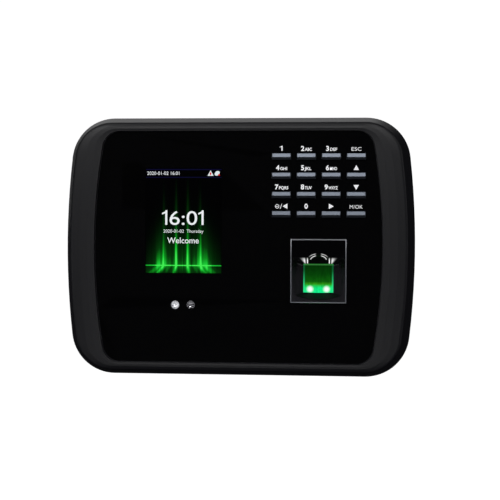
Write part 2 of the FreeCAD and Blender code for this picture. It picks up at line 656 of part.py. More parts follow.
def ethernet_socket():
    """Shielded network socket, open downwards into the bay."""
    shell = block(ETHERNET_X - ETHERNET_W / 2, ETHERNET_X + ETHERNET_W / 2, ETHERNET_OUT, BOARD_BACK,
                  BAY_Z1 - 0.4, BAY_Z1 + 20.6)
    mouth = block(ETHERNET_X - 5.9, ETHERNET_X + 5.9, ETHERNET_OUT + 2.2, ETHERNET_OUT + 9.6,
                  BAY_Z1 - 1.0, BAY_Z1 + 12.0)
    latch = block(ETHERNET_X - 2.2, ETHERNET_X + 2.2, ETHERNET_OUT + 9.0, ETHERNET_OUT + 11.4,
                  BAY_Z1 - 1.0, BAY_Z1 + 12.0)
    return cut(shell, [mouth, latch])


def power_jack():
    """Barrel jack with its centre pin."""
    shell = block(JACK_X - JACK_W / 2, JACK_X + JACK_W / 2, JACK_OUT, BOARD_BACK,
                  BAY_Z1 - 0.4, BAY_Z1 + 13.6)
    axis = JACK_OUT + 5.2
    shell = shell.cut(post(JACK_X, axis, 2.85, BAY_Z1 - 1.0, BAY_Z1 + 9.0))
    return fuse([shell, post(JACK_X, axis, 1.0, BAY_Z1 + 0.4, BAY_Z1 + 9.5)])


def wire_headers():
    """Three four-way headers for the lock, exit button and alarm wires."""
    headers = []
    for x in HEADER_XS:
        shell = block(x - HEADER_W / 2, x + HEADER_W / 2, HEADER_OUT, BOARD_BACK - 0.05,
                      BAY_Z1 - 0.4, BAY_Z1 + 8.0)
        shell = shell.cut(block(x - HEADER_W / 2 + 0.8, x + HEADER_W / 2 - 0.8, HEADER_OUT + 0.8,
                                BOARD_BACK - 0.85, BAY_Z1 - 1.0, BAY_Z1 + 6.0))
        pins = [block(x + dx - 0.3, x + dx + 0.3, 16.9, 17.5, BAY_Z1 + 0.6, BAY_Z1 + 7.0)
                for dx in (-3.0, -1.0, 1.0, 3.0)]
        headers.append(fuse([shell] + pins))
    return Part.makeCompound(headers)


def usb_socket():
    """USB socket in the bottom edge, with its contact tongue."""
    shell = block(USB_X - USB_W / 2, USB_X + USB_W / 2, USB_OUT, BOARD_BACK, USB_MOUTH, USB_TOP)
    hollow = block(USB_X - 6.3, USB_X + 6.3, USB_OUT + 0.6, USB_OUT + 5.8, USB_MOUTH - 1, USB_TOP - 2)
    tongue = block(USB_X - 5.6, USB_X + 5.6, USB_OUT + 2.3, USB_OUT + 4.1, USB_MOUTH + 0.6, USB_TOP - 1.5)
    return fuse([shell.cut(hollow), tongue])


def speaker():
    """Box speaker behind the grille."""
    frame = slab(SPEAKER_X, 0.0, 17.0, 30.0, 3.0, BACK + 2.5, BACK + 7.0)
    cone = slab(SPEAKER_X, 0.0, 13.0, 26.0, 3.0, BACK + 1.5, BACK + 4.0)
    magnet = rod(SPEAKER_X, 0.0, 6.0, BACK + 7.0, BACK + 9.0)
    return fuse([frame.cut(cone), magnet])


def board_sockets():
    """White sockets for the flat cables on the front of the main board."""
    front = BOARD_BACK + MAIN_T
    return Part.makeCompound([
        block(-41.5, -21.5, front, front + 2.0, -28.0, -24.0),
        block(16.4, 21.8, front, front + 2.0, 34.0, 38.0),
        block(6.0, 16.0, front, front + 2.0, -20.0, -16.0),
        block(-37.7, -25.7, front, front + 2.0, -50.0, -46.0),
    ])


def display_ribbon():
    """Flat cable from the display's lower edge down to the main board."""
    return ribbon([(32.4, MODULE_BOTTOM - 0.1), (32.4, -26.0), (24.4, -26.0)], 1.0, 0.3, -40.0, -23.0)


def camera_ribbon():
    """Flat cable from the camera board to the main board."""
    return ribbon([(27.6, -36.0), (27.6, -48.0), (24.2, -48.0)], 1.0, 0.3, -36.7, -26.7)


def keypad_ribbon():
    """Flat cable from the keypad board to the main board."""
    return ribbon([(27.4, 30.0), (27.4, 36.0), (24.3, 36.0)], 0.8, 0.3, 16.9, 21.3)


# ---- switches -----------------------------------------------------------------------------------

def tamper_switch():
    """Body of the tamper switch on the back of the main board."""
    body = slab(TAMPER_X, TAMPER_Z, 8.0, 8.0, 0.5, 13.0, BOARD_BACK)
    return body.cut(rod(TAMPER_X, TAMPER_Z, TAMPER_R + 1.05, 12.0, 18.5))


def tamper_plunger():
    """Round-ended plunger that the wall plate's ramp holds pressed."""
    tip = plunger_tip()
    stem = rod(TAMPER_X, TAMPER_Z, TAMPER_R, tip + TAMPER_R, 17.0)
    nose = Part.makeSphere(TAMPER_R, V(TAMPER_X, -(tip + TAMPER_R), TAMPER_Z))
    collar = rod(TAMPER_X, TAMPER_Z, TAMPER_R + 0.7, 15.4, 16.4)
    return fuse([stem, nose, collar])


def plunger_tip():
    """Depth of the plunger's nose at rest, clear of the ramp by RAMP_GAP along the ramp's normal."""
    slope = math.atan2(RAMP_RISE, LIFT)
    centre = PLATE_T + RAMP_RISE + (TAMPER_R + RAMP_GAP) / math.cos(slope)
    return centre - TAMPER_R


def tamper_spring():
    """Coil spring that pushes the plunger out, drawn as the tube that it fills."""
    return rod(TAMPER_X, TAMPER_Z, TAMPER_R + 0.7, 17.05, 18.4).cut(
        rod(TAMPER_X, TAMPER_Z, TAMPER_R + 0.1, 16.0, 19.0))


def reset_switch():
    """Body of the reset switch behind the bay floor."""
    return slab(RESET_X, RESET_Z, 6.0, 6.0, 0.4, 18.8, BOARD_BACK).cut(
        rod(RESET_X, RESET_Z, RESET_R + 0.08, 18.0, 19.9))


def reset_button():
    """Reset button, reached through the hole in the bay floor."""
    return rod(RESET_X, RESET_Z, RESET_R, 17.2, 19.4)


# ---- wall plate ---------------------------------------------------------------------------------

def wall_plate():
    """Sheet-steel plate with four hooks, a flange for the security screw and the tamper ramp."""
    sheet = slab(0.0, 0.0, PLATE_W, PLATE_H, 4.0, 0.0, PLATE_T)
    bottom = -PLATE_H / 2
    tools = [slab(-13.0, -13.0, 58.0, 26.0, 3.0, -1.0, 3.0)]
    tools += [rod(sx * BOLT_X, sz * BOLT_Z, BOLT_R, -1.0, 3.0) for sx in (-1, 1) for sz in (-1, 1)]
    sheet = cut(sheet, tools)
    lip_back = RECESS_FLOOR + RECESS_T + HOOK_CLEAR
    pieces = [sheet]
    for x in HOOK_XS:
        for z in HOOK_ZS:
            x0, x1 = x - HOOK_W / 2, x + HOOK_W / 2
            pieces.append(block(x0, x1, PLATE_T - 0.5, lip_back + 1.4, z, z + PLATE_T))
            pieces.append(block(x0, x1, lip_back, lip_back + 1.4, z, z + PLATE_T + HOOK_LIP))
    flange = block(-FLANGE_HALF_W, FLANGE_HALF_W, 0.0, FLANGE_OUT, bottom, bottom + PLATE_T)
    pieces.append(flange.cut(post(0.0, SCREW_OUT, SCREW_R + 0.25, bottom - 1, bottom + 3)))
    pieces.append(tamper_ramp())
    return fuse(pieces)


def tamper_ramp():
    """Raised wedge: full height below the plunger's rest, flush with the plate one lift above it."""
    half_w = 3.0
    top = TAMPER_Z + LIFT
    slope_end = TAMPER_Z - 1.0
    rise_end = RAMP_RISE * (top - slope_end) / LIFT
    points = [
        V(TAMPER_X - half_w, -PLATE_T + 0.5, top),
        V(TAMPER_X - half_w, -PLATE_T, top),
        V(TAMPER_X - half_w, -PLATE_T - rise_end, slope_end),
        V(TAMPER_X - half_w, -PLATE_T - rise_end, slope_end - 3.0),
        V(TAMPER_X - half_w, -PLATE_T + 0.5, slope_end - 6.0),
    ]
    return Part.Face(Part.makePolygon(points + points[:1])).extrude(V(2 * half_w, 0, 0))


def security_screw():
    """Screw that locks the terminal down on its hooks, driven from below."""
    bottom = -PLATE_H / 2
    head = post(0.0, SCREW_OUT, 2.75, bottom - 2.2, bottom)
    shank = post(0.0, SCREW_OUT, SCREW_R, bottom, SCREW_END)
    socket = Part.makePolygon([
        V(1.3 * math.cos(k * math.pi / 3), -SCREW_OUT + 1.3 * math.sin(k * math.pi / 3), bottom - 3)
        for k in range(7)
    ])
    return fuse([head, shank]).cut(Part.Face(socket).extrude(V(0, 0, 2.2)))


# ---- write the parts ----------------------------------------------------------------------------

def all_parts():
    """Every node's name and shape."""
    parts = {
        "front_shell": front_shell(),
        "rear_shell": rear_shell(),
        "front_window": front_window(),
        "window_mask": window_mask(),
        "keypad_mat": keypad_mat(),
        "keypad_board": keypad_board(),
        "board_screws": board_screws(),
        "case_screws": case_screws(),
        "display_glass": display_glass(),
        "display_backlight": display_backlight(),
        "display_bracket": display_bracket(),
        "camera_board": camera_board(),
        "visible_camera": camera_barrel(CAMERA_XS[0]),
        "infrared_camera": camera_barrel(CAMERA_XS[1]),
        "camera_lenses": camera_lenses(),
        "reader_bezel": reader_bezel(),
        "reader_prism": reader_prism(),
        "reader_holder": reader_holder(),
        "reader_lens": reader_lens(),
        "reader_board": reader_board(),
        "reader_lights": reader_lights(),
        "main_board": main_board(),
        "processor": processor(),
        "memory_chips": memory_chips(),
        "door_relay": relay(),
        "capacitors": capacitors(),
        "clock_cell": clock_cell(),
        "ethernet_socket": ethernet_socket(),
        "power_jack": power_jack(),
        "wire_headers": wire_headers(),
        "usb_socket": usb_socket(),
        "speaker": speaker(),
        "board_sockets": board_sockets(),
        "display_ribbon": display_ribbon(),
        "camera_ribbon": camera_ribbon(),
        "keypad_ribbon": keypad_ribbon(),
        "tamper_switch": tamper_switch(),
        "tamper_plunger": tamper_plunger(),
        "tamper_spring": tamper_spring(),
        "reset_switch": reset_switch(),
        "reset_button": reset_button(),
        "wall_plate": wall_plate(),
        "security_screw": security_screw(),
    }
    parts.update({name: key_cap(x, z) for name, x, z in key_places()})
    return parts


os.makedirs("parts", exist_ok=True)
for node, shape in all_parts().items():
    shape.exportStep(f"parts/{node}.step")
    print(f"{node}: {len(shape.Solids)} solid(s), valid {shape.isValid()}, {shape.Volume / 1000:.2f} cm3")
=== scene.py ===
import math

import bmesh
import bpy
from bpy.props import FloatProperty, PointerProperty, StringProperty
from mathutils import Matrix, Vector


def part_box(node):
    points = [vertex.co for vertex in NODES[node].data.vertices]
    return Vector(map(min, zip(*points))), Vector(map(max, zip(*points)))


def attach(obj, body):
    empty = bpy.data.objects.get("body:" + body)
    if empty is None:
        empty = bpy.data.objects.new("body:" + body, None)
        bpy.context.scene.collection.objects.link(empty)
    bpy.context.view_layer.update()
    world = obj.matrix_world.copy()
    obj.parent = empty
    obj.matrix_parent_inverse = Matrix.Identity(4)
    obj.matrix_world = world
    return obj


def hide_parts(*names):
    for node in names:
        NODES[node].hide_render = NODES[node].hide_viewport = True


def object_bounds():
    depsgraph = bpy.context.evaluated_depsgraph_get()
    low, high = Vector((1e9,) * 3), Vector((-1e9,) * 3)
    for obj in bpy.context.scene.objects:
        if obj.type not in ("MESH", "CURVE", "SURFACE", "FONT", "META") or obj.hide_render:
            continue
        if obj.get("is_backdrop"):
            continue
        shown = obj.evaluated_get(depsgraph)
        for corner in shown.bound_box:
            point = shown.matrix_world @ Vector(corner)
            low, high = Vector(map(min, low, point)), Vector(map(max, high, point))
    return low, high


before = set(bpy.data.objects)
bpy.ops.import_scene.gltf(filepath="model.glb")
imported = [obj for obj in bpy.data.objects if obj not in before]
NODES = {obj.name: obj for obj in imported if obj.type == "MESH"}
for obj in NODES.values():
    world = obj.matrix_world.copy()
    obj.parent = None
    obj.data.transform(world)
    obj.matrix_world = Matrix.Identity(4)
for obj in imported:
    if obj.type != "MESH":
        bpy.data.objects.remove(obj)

bl_info = {
    "name": "Fingerprint terminal",
    "version": (1, 0, 0),
    "blender": (4, 5, 0),
    "location": "3D view > Sidebar > Terminal",
    "description": "Finishes and small pieces of a wall-mounted fingerprint terminal",
    "category": "Object",
}

MM = 0.001
CAD_BOX = [list(corner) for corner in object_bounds()]
KEYS = (
    "key_1", "key_2", "key_3", "key_esc",
    "key_4", "key_5", "key_6", "key_up",
    "key_7", "key_8", "key_9", "key_down",
    "key_left", "key_0", "key_right", "key_ok",
)


# ---- places read from the frame ------------------------------------------------------------------

def middle(node):
    """Middle of a CAD node's box."""
    low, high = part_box(node)
    return (low + high) / 2


def front(node):
    """Y of the node's foremost face."""
    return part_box(node)[0].y


# The legends are printed on the window's back face, and the display's writing lies on the lit panel.
PRINT_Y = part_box("front_window")[1].y
PANEL_Y = front("display_glass")
PANEL = middle("display_glass")
# The lit area, and how high its middle lies.
LIT_W, LIT_H = 42.7 * MM, 58.6 * MM
LIT_Z = PANEL.z + 2.0 * MM
# The reader's surround: its width and height, how high its middle lies, and the width of its pale edge line, a
# painted highlight.
RIM_W, RIM_H, RIM_Z = 30.9 * MM, 35.4 * MM, -13.0 * MM
RIM_HIGHLIGHT_W = 0.5 * MM
# Height of the prism's face that shows, up to its top edge.
PRISM_FACE = 15.8 * MM


# ---- small tools ---------------------------------------------------------------------------------

def linear(code):
    """sRGB hex to linear colour with alpha."""
    channels = [int(code[i:i + 2], 16) / 255 for i in (1, 3, 5)]
    return tuple(c / 12.92 if c <= 0.04045 else ((c + 0.055) / 1.055) ** 2.4 for c in channels) + (1.0,)


def add(tree, kind, inputs=None, stops=(), **settings):
    """A node of that kind; each input is a value, the socket that feeds it, or a node whose first output does.
    The stops of a ramp are its places and what it has there: a brightness, or a colour in hex."""
    node = tree.nodes.new(kind)
    for name, value in settings.items():
        setattr(node, name, value)
    elements = node.color_ramp.elements if stops else ()
    while len(elements) < len(stops):
        elements.new(0.5)
    for element, (where, value) in zip(elements, sorted(stops)):
        element.position = where
        element.color = linear(value) if isinstance(value, str) else (value, value, value, 1.0)
    for name, value in (inputs or {}).items():
        if isinstance(value, bpy.types.Node):
            value = value.outputs[0]
        if isinstance(value, bpy.types.NodeSocket):
            tree.links.new(value, node.inputs[name])
        else:
            node.inputs[name].default_value = value
    return node


def blank(name):
    """An empty material: (material, its node tree)."""
    material = bpy.data.materials.new(name)
    material.use_nodes = True
    material.node_tree.nodes.clear()
    return material, material.node_tree


def surface(name, colour, roughness, metallic=0.0, grain_mm=0.5, depth_mm=0.01, tint=0.15, wear=0.06, **extra):
    """A finish with a grain of that size: its colour and roughness vary a little and it has a fine bump."""
    material, tree = blank(name)
    where = add(tree, "ShaderNodeTexCoord").outputs["Object"]
    grain = add(tree, "ShaderNodeTexNoise", {"Vector": where, "Scale": 1 / (grain_mm * MM), "Detail": 3.0})
    cloud = add(tree, "ShaderNodeTexNoise", {"Vector": where, "Scale": 1 / (22 * MM), "Detail": 4.0})
    base = linear(colour)[:3]
    dark = tuple(c * (1 - tint) for c in base) + (1.0,)
    light = tuple(min(1.0, c * (1 + tint)) for c in base) + (1.0,)
    shade = add(tree, "ShaderNodeMix", {0: cloud, 6: dark, 7: light}, data_type="RGBA")
    rough = add(tree, "ShaderNodeMapRange", {
        "Value": grain, "To Min": roughness - wear, "To Max": roughness + wear})
    bump = add(tree, "ShaderNodeBump", {"Height": grain, "Distance": depth_mm * MM, "Strength": 1.0})
    shader = add(tree, "ShaderNodeBsdfPrincipled", {
        "Base Color": shade.outputs[2], "Roughness": rough, "Metallic": metallic, "Normal": bump, **extra})
    add(tree, "ShaderNodeOutputMaterial", {"Surface": shader})
    return material


def finish(node, material):
    """Gives a CAD node its material."""
    mesh = NODES[node].data
    mesh.materials.clear()
    mesh.materials.append(material)


def new_piece(name, mesh, material, body):
    """A finished piece: its place is in the mesh, and it rides on a body."""
    piece = bpy.data.objects.new(name, mesh)
    bpy.context.scene.collection.objects.link(piece)
    mesh.materials.clear()
    mesh.materials.append(material)
    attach(piece, body)
    return piece


def closed_mesh(name, bm):
    """Mesh from bmesh with its doubles merged and its faces turned outwards."""
    bmesh.ops.remove_doubles(bm, verts=bm.verts, dist=1e-7)
    bmesh.ops.recalc_face_normals(bm, faces=bm.faces)
    mesh = bpy.data.meshes.new(name)
    bm.to_mesh(mesh)
    bm.free()
    return mesh


def plate(bm, outline, y_back, y_front):
    """A flat solid with that outline of (x, z) between two depths."""
    back = [bm.verts.new((x, y_back, z)) for x, z in outline]
    face = bm.faces.new(back)
    moved = bmesh.ops.extrude_face_region(bm, geom=[face])["geom"]
    for vert in (v for v in moved if isinstance(v, bmesh.types.BMVert)):
        vert.co.y = y_front


def rectangle(bm, low_x, low_z, high_x, high_z, y_back, y_front):
    """A flat solid with straight sides."""
    plate(bm, [(low_x, low_z), (high_x, low_z), (high_x, high_z), (low_x, high_z)], y_back, y_front)


# Height of the font's capitals for each unit of its size.
CAPITAL = 0.73


def written(name, words, height, x, z, y, thickness, align="CENTER", weight=0.0, width=None):
    """Mesh of a line of writing that faces the front; height is that of a capital, width that of the line."""
    curve = bpy.data.curves.new(name, "FONT")
    curve.body = words
    curve.size = height / CAPITAL
    curve.align_x = align
    curve.extrude = thickness / 2
    curve.offset = weight
    curve.resolution_u = 4
    holder = bpy.data.objects.new(name, curve)
    bpy.context.scene.collection.objects.link(holder)
    bpy.context.view_layer.update()
    mesh = bpy.data.meshes.new_from_object(holder.evaluated_get(bpy.context.evaluated_depsgraph_get()))
    bpy.data.objects.remove(holder)
    if width:
        reach = [vert.co.x for vert in mesh.vertices]
        mesh.transform(Matrix.Scale(width / (max(reach) - min(reach)), 4, (1.0, 0.0, 0.0)))
    mesh.transform(Matrix.Translation((x, y - thickness / 2, z)) @ Matrix.Rotation(math.pi / 2, 4, "X"))
    return mesh


def numeral_one(height, x, z, y, thickness, stroke):
    """Mesh of a figure one with a flag, its stem's right edge at x."""
    # Corners in strokes to the left of x and in heights above z.
    stem = ((1.0, 0.0), (0.0, 0.0), (0.0, 1.0), (0.8, 1.0), (1.0, 0.95))
    flag = ((1.0, 0.79), (0.8, 1.0), (1.1, 0.91), (2.6, 0.81), (2.6, 0.70))
    bm = bmesh.new()
    for corners in (stem, flag):
        plate(bm, [(x - left * stroke, z + up * height) for left, up in corners], y, y - thickness)
    return closed_mesh("numeral_one", bm)


def joined(name, meshes):
    """One mesh from several."""
    bm = bmesh.new()
    for mesh in meshes:
        bm.from_mesh(mesh)
    out = bpy.data.meshes.new(name)
    bm.to_mesh(out)
    bm.free()
    return out


def run_geometry(name, tree, values):
    """Plain mesh made by a Geometry Nodes tree on an empty mesh, with its inputs set by identifier."""
    holder = bpy.data.objects.new(name + "_holder", bpy.data.meshes.new(name + "_seed"))
    bpy.context.scene.collection.objects.link(holder)
    modifier = holder.modifiers.new(name, "NODES")
    modifier.node_group = tree
    for item in tree.interface.items_tree:
        if item.item_type == "SOCKET" and item.in_out == "INPUT" and item.name in values:
            modifier[item.identifier] = values[item.name]
    bpy.context.view_layer.update()
    evaluated = holder.evaluated_get(bpy.context.evaluated_depsgraph_get())
    mesh = bpy.data.meshes.new_from_object(evaluated)
    holder.modifiers.clear()
    bpy.data.objects.remove(holder)
    return mesh


def grid_tree(name, material):
    """Bars of one size repeated over columns and rows: what the contacts and woven wires are made of."""
    tree = bpy.data.node_groups.new(name, "GeometryNodeTree")
    tree.interface.new_socket("Geometry", in_out="OUTPUT", socket_type="NodeSocketGeometry")
    for label, kind in (("Corner", "Vector"), ("Bar", "Vector"), ("Step X", "Float"), ("Step Z", "Float"),
                        ("Columns", "Int"), ("Rows", "Int")):
        tree.interface.new_socket(label, in_out="INPUT", socket_type="NodeSocket" + kind)
    given = add(tree, "NodeGroupInput")
    column_step = add(tree, "ShaderNodeCombineXYZ", {"X": given.outputs["Step X"]})
    row_step = add(tree, "ShaderNodeCombineXYZ", {"Z": given.outputs["Step Z"]})
    columns = add(tree, "GeometryNodeMeshLine", {
        "Count": given.outputs["Columns"], "Start Location": given.outputs["Corner"],
        "Offset": column_step.outputs["Vector"]})
    rows = add(tree, "GeometryNodeMeshLine", {
        "Count": given.outputs["Rows"], "Offset": row_step.outputs["Vector"]})
    piece = add(tree, "GeometryNodeMeshCube", {"Size": given.outputs["Bar"]})
    stack = add(tree, "GeometryNodeInstanceOnPoints", {
        "Points": rows.outputs["Mesh"], "Instance": piece.outputs["Mesh"]})
    spread = add(tree, "GeometryNodeInstanceOnPoints", {
        "Points": columns.outputs["Mesh"], "Instance": stack.outputs["Instances"]})
    real = add(tree, "GeometryNodeRealizeInstances", {"Geometry": spread.outputs["Instances"]})
    dressed = add(tree, "GeometryNodeSetMaterial", {"Geometry": real.outputs["Geometry"], "Material": material})
    add(tree, "NodeGroupOutput", {"Geometry": dressed.outputs["Geometry"]})
    return tree


def bars(name, material, corner, size, step_x=0.0, step_z=0.0, columns=1, rows=1):
    """Mesh of repeated bars, from the grid tree."""
    tree = grid_tree(name + "_rule", material)
    return run_geometry(name, tree, {
        "Corner": corner, "Bar": size, "Step X": step_x, "Step Z": step_z, "Columns": columns, "Rows": rows})


# ---- settings ------------------------------------------------------------------------------------

class CaseSettings(bpy.types.PropertyGroup):
    """Colours of the case."""
    shell: StringProperty(name="Shell", description="sRGB colour of the moulded shells", default="#17171c")
    film: StringProperty(name="Film", description="sRGB colour of the window's film", default="#020203")
    grain: FloatProperty(name="Grain", description="Spark-eroded grain of the mould, in millimetres",
                         default=0.45, min=0.1, max=2.0)


class KeySettings(bpy.types.PropertyGroup):
    """Colour of the keys and sizes of their printing."""
    cap: StringProperty(name="Cap", description="sRGB colour of the silver lacquer", default="#6b717b")
    digit: FloatProperty(name="Digit height", description="Height of the printed digits", default=2.75 * MM,
                         unit="LENGTH", subtype="DISTANCE")
    letter: FloatProperty(name="Letter height", description="Height of the small letters", default=1.75 * MM,
                          unit="LENGTH", subtype="DISTANCE")
    rise: FloatProperty(name="Rise", description="Gap between a key and its printing", default=1.45 * MM,
                        unit="LENGTH", subtype="DISTANCE")


class DisplaySettings(bpy.types.PropertyGroup):
    """What the display shows."""
    clock: StringProperty(name="Clock", description="Time in large digits", default="16:01")
    date: StringProperty(name="Date", description="Date under the clock", default="2020-01-02  Thursday")
    greeting: StringProperty(name="Greeting", description="Line under the date", default="Welcome")
    beam: StringProperty(name="Beam", description="sRGB colour of the light beams", default="#22e040")
    glow: FloatProperty(name="Glow", description="Strength of the lit picture", default=1.0, min=0.0, max=5.0)


class ReaderSettings(bpy.types.PropertyGroup):
    """Glow of the finger window and shape of the hollow round it."""
    light: StringProperty(name="Light", description="sRGB colour of the lamps' light", default="#18ff8c")
    glow: FloatProperty(name="Glow", description="Strength of the lamps", default=1.0, min=0.0, max=5.0)
    trough: FloatProperty(name="Trough", description="Radius of the finger's trough, in millimetres",
                          default=18.0)
    dome: FloatProperty(name="Dome", description="Radius of the hollow for the fingertip, in millimetres",
                        default=10.2)


class StageSettings(bpy.types.PropertyGroup):
    """Floor, lights and camera."""
    azimuth: FloatProperty(name="Azimuth", description="Camera angle to the right of straight on",
                           default=math.radians(4.5), subtype="ANGLE", unit="ROTATION")
    elevation: FloatProperty(name="Elevation", description="Camera angle above level",
                             default=math.radians(1.0), subtype="ANGLE", unit="ROTATION")
    roll: FloatProperty(name="Roll", description="Camera turned about its line of sight",
                        default=math.radians(0.26), subtype="ANGLE", unit="ROTATION")
    distance: FloatProperty(name="Distance", description="From the camera to the terminal's middle",
                            default=0.62, unit="LENGTH", subtype="DISTANCE")
    lens: FloatProperty(name="Lens", description="Focal length in millimetres", default=77.8)
    drop: FloatProperty(name="Drop", description="How far the floor lies below the terminal", default=0.11,
                        unit="LENGTH", subtype="DISTANCE")
    key_power: FloatProperty(name="Key light", description="Power of the upper soft light", default=5.0)
    rim_power: FloatProperty(name="Rim light", description="Power of the soft light above and behind",
                             default=0.3)
    back_power: FloatProperty(name="Back light", description="Power of the soft light behind", default=0.6)
    low_power: FloatProperty(name="Low light", description="Power of the soft light low in front", default=0.13)
    side_power: FloatProperty(name="Side lights", description="Power of each side light", default=1.2)
    lamp_power: FloatProperty(name="Lamps", description="Power of each small low lamp", default=0.4)


# ---- finishes that several pieces share ----------------------------------------------------------

def moulded_abs():
    """Spark-eroded ABS, injection moulded: a soft satin sheen broken by fine grain, slightly bluish grey."""
    case = bpy.context.scene.terminal_case
    return surface("moulded_abs", case.shell, 0.42, grain_mm=case.grain, depth_mm=0.02, tint=0.05, IOR=1.53)


def polished_abs(name="polished_abs", colour="#060607"):
    """Gloss ABS from a polished mould: deep black with sharp reflections and faint hairlines."""
    return surface(name, colour, 0.09, grain_mm=6.0, depth_mm=0.004, tint=0.2, wear=0.03, IOR=1.53)


def solder_mask():
    """Green solder mask over copper: half-gloss, darker over bare laminate, with straight tracks."""
    material, tree = blank("solder_mask")
    where = add(tree, "ShaderNodeTexCoord").outputs["Object"]
    tracks = add(tree, "ShaderNodeTexBrick", {
        "Vector": where, "Scale": 1.0, "Mortar Size": 0.2 * MM, "Brick Width": 6 * MM, "Row Height": 1.1 * MM,
        "Color1": linear("#0d5a2c"), "Color2": linear("#0f6632"), "Mortar": linear("#1c8a48")})
    shader = add(tree, "ShaderNodeBsdfPrincipled", {"Base Color": tracks, "Roughness": 0.35, "IOR": 1.5})
    add(tree, "ShaderNodeOutputMaterial", {"Surface": shader})
    return material


def metal(name, colour, rough_low=0.2, rough_high=0.42, stretch=0.04):
    """Rolled or turned metal: bright, with a fine grain drawn out along one way."""
    material, tree = blank(name)
    where = add(tree, "ShaderNodeTexCoord").outputs["Object"]
    stretched = add(tree, "ShaderNodeMapping", {"Vector": where, "Scale": (1.0, 1.0, stretch)})
    grain = add(tree, "ShaderNodeTexNoise", {"Vector": stretched, "Scale": 1 / (0.3 * MM), "Detail": 4.0})
    rough = add(tree, "ShaderNodeMapRange", {"Value": grain, "To Min": rough_low, "To Max": rough_high})
    bump = add(tree, "ShaderNodeBump", {"Height": grain, "Distance": 0.004 * MM, "Strength": 0.6})
    shader = add(tree, "ShaderNodeBsdfPrincipled", {
        "Base Color": linear(colour), "Metallic": 1.0, "Roughness": rough, "Normal": bump})
    add(tree, "ShaderNodeOutputMaterial", {"Surface": shader})
    return material


def glowing(name, colour, strength=1.0):
    """Lit picture elements or lamps of one colour: flat, even and without any shine."""
    material, tree = blank(name)
    shader = add(tree, "ShaderNodeEmission", {"Color": linear(colour), "Strength": strength})
    add(tree, "ShaderNodeOutputMaterial", {"Surface": shader})
    return material


# ---- case ----------------------------------------------------------------------------------------

class TERMINAL_OT_case(bpy.types.Operator):
    """Finish the two shells, the case screws and the speaker behind its slots"""
    bl_idname = "terminal.case"
    bl_label = "Case"

    def execute(self, context):
        shell = moulded_abs()
        finish("front_shell", shell)
        finish("rear_shell", shell)
        # Zinc-plated steel: pale, slightly blue, with turning marks.
        finish("case_screws", metal("zinc_plated_steel", "#b4b8bc"))
        # Pressed paper pulp: black and fibrous, without a shine.
        finish("speaker", surface("speaker_paper", "#17171a", 0.8, grain_mm=0.8, depth_mm=0.05))
        self.speaker_cloth()
        return {"FINISHED"}

    def speaker_cloth(self):
        """Woven wire cloth between the speaker and the slots, drawn coarser than real so that it shows."""
        low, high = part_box("speaker")
        # Blackened brass wire: dull dark metal.
        wire = metal("blackened_wire", "#2c2d30")
        pitch, thick, inset = 0.9 * MM, 0.25 * MM, 1 * MM
        y = high.y + thick
        width, height = high.x - low.x - 2 * inset, high.z - low.z - 2 * inset
        warp = bars("speaker_warp", wire, (low.x + inset, y, 0.0), (thick, thick, height),
                    step_x=pitch, columns=int(width / pitch) + 1)
        weft = bars("speaker_weft", wire, (middle("speaker").x, y + thick, low.z + inset),
                    (width, thick, thick), step_z=pitch, rows=int(height / pitch) + 1)
        new_piece("speaker_cloth", joined("speaker_cloth", [warp, weft]), wire, "terminal")


# ---- window --------------------------------------------------------------------------------------

def clear_acrylic():
    """Cast acrylic, polished: clear, so that only its mirror-like surface shows over the black film."""
    material, tree = blank("clear_acrylic")
    where = add(tree, "ShaderNodeTexCoord").outputs["Object"]
    haze = add(tree, "ShaderNodeTexNoise", {"Vector": where, "Scale": 1 / (35 * MM), "Detail": 2.0})
    rough = add(tree, "ShaderNodeMapRange", {"Value": haze, "To Min": 0.02, "To Max": 0.06})
    # Only the outer side mirrors. The inner side would shut in all slanting light, because the light
    # isn't bent on its way through.
    inner = add(tree, "ShaderNodeNewGeometry").outputs["Backfacing"]
    outer = add(tree, "ShaderNodeMath", {0: 1.0, 1: inner}, operation="SUBTRACT")
    mirror = add(tree, "ShaderNodeMath", {0: add(tree, "ShaderNodeFresnel", {"IOR": 1.49}), 1: outer},
                 operation="MULTIPLY")
    clear = add(tree, "ShaderNodeBsdfTransparent", {"Color": linear("#fcfcfd")})
    gloss = add(tree, "ShaderNodeBsdfGlossy", {"Color": linear("#ffffff"), "Roughness": rough})
    shader = add(tree, "ShaderNodeMixShader", {0: mirror, 1: clear, 2: gloss})
    add(tree, "ShaderNodeOutputMaterial", {"Surface": shader})
    return material


class TERMINAL_OT_window(bpy.types.Operator):
    """Finish the clear window and the black film printed for its back"""
    bl_idname = "terminal.window"
    bl_label = "Window"

    def execute(self, context):
        case = context.scene.terminal_case
        finish("front_window", clear_acrylic())
        # Screen-printed polyester film, laminated to the window: flat black ink without a shine of its own.
        finish("window_mask", surface("black_ink_film", case.film, 0.8, grain_mm=0.2, depth_mm=0.002,
                                      **{"Specular IOR Level": 0.05}))
        return {"FINISHED"}


# ---- keypad --------------------------------------------------------------------------------------

def triangle(bm, centre, size, turn, y, thickness):
    """A solid arrowhead that points up, turned by that angle."""
    cos, sin = math.cos(turn), math.sin(turn)
    plate(bm, [(centre[0] + size * (cos * x - sin * z), centre[1] + size * (sin * x + cos * z))
               for x, z in ((0.0, 0.55), (-0.55, -0.45), (0.55, -0.45))], y, y - thickness)


def ring(bm, centre, radius, width, y, thickness, sides=28):
    """A flat closed ring."""
    for k in range(sides):
        a, b = math.tau * k / sides, math.tau * (k + 1) / sides
        plate(bm, [(centre[0] + r * math.cos(t), centre[1] + r * math.sin(t))
                   for r, t in ((radius, a), (radius, b), (radius - width, b), (radius - width, a))],
              y, y - thickness)


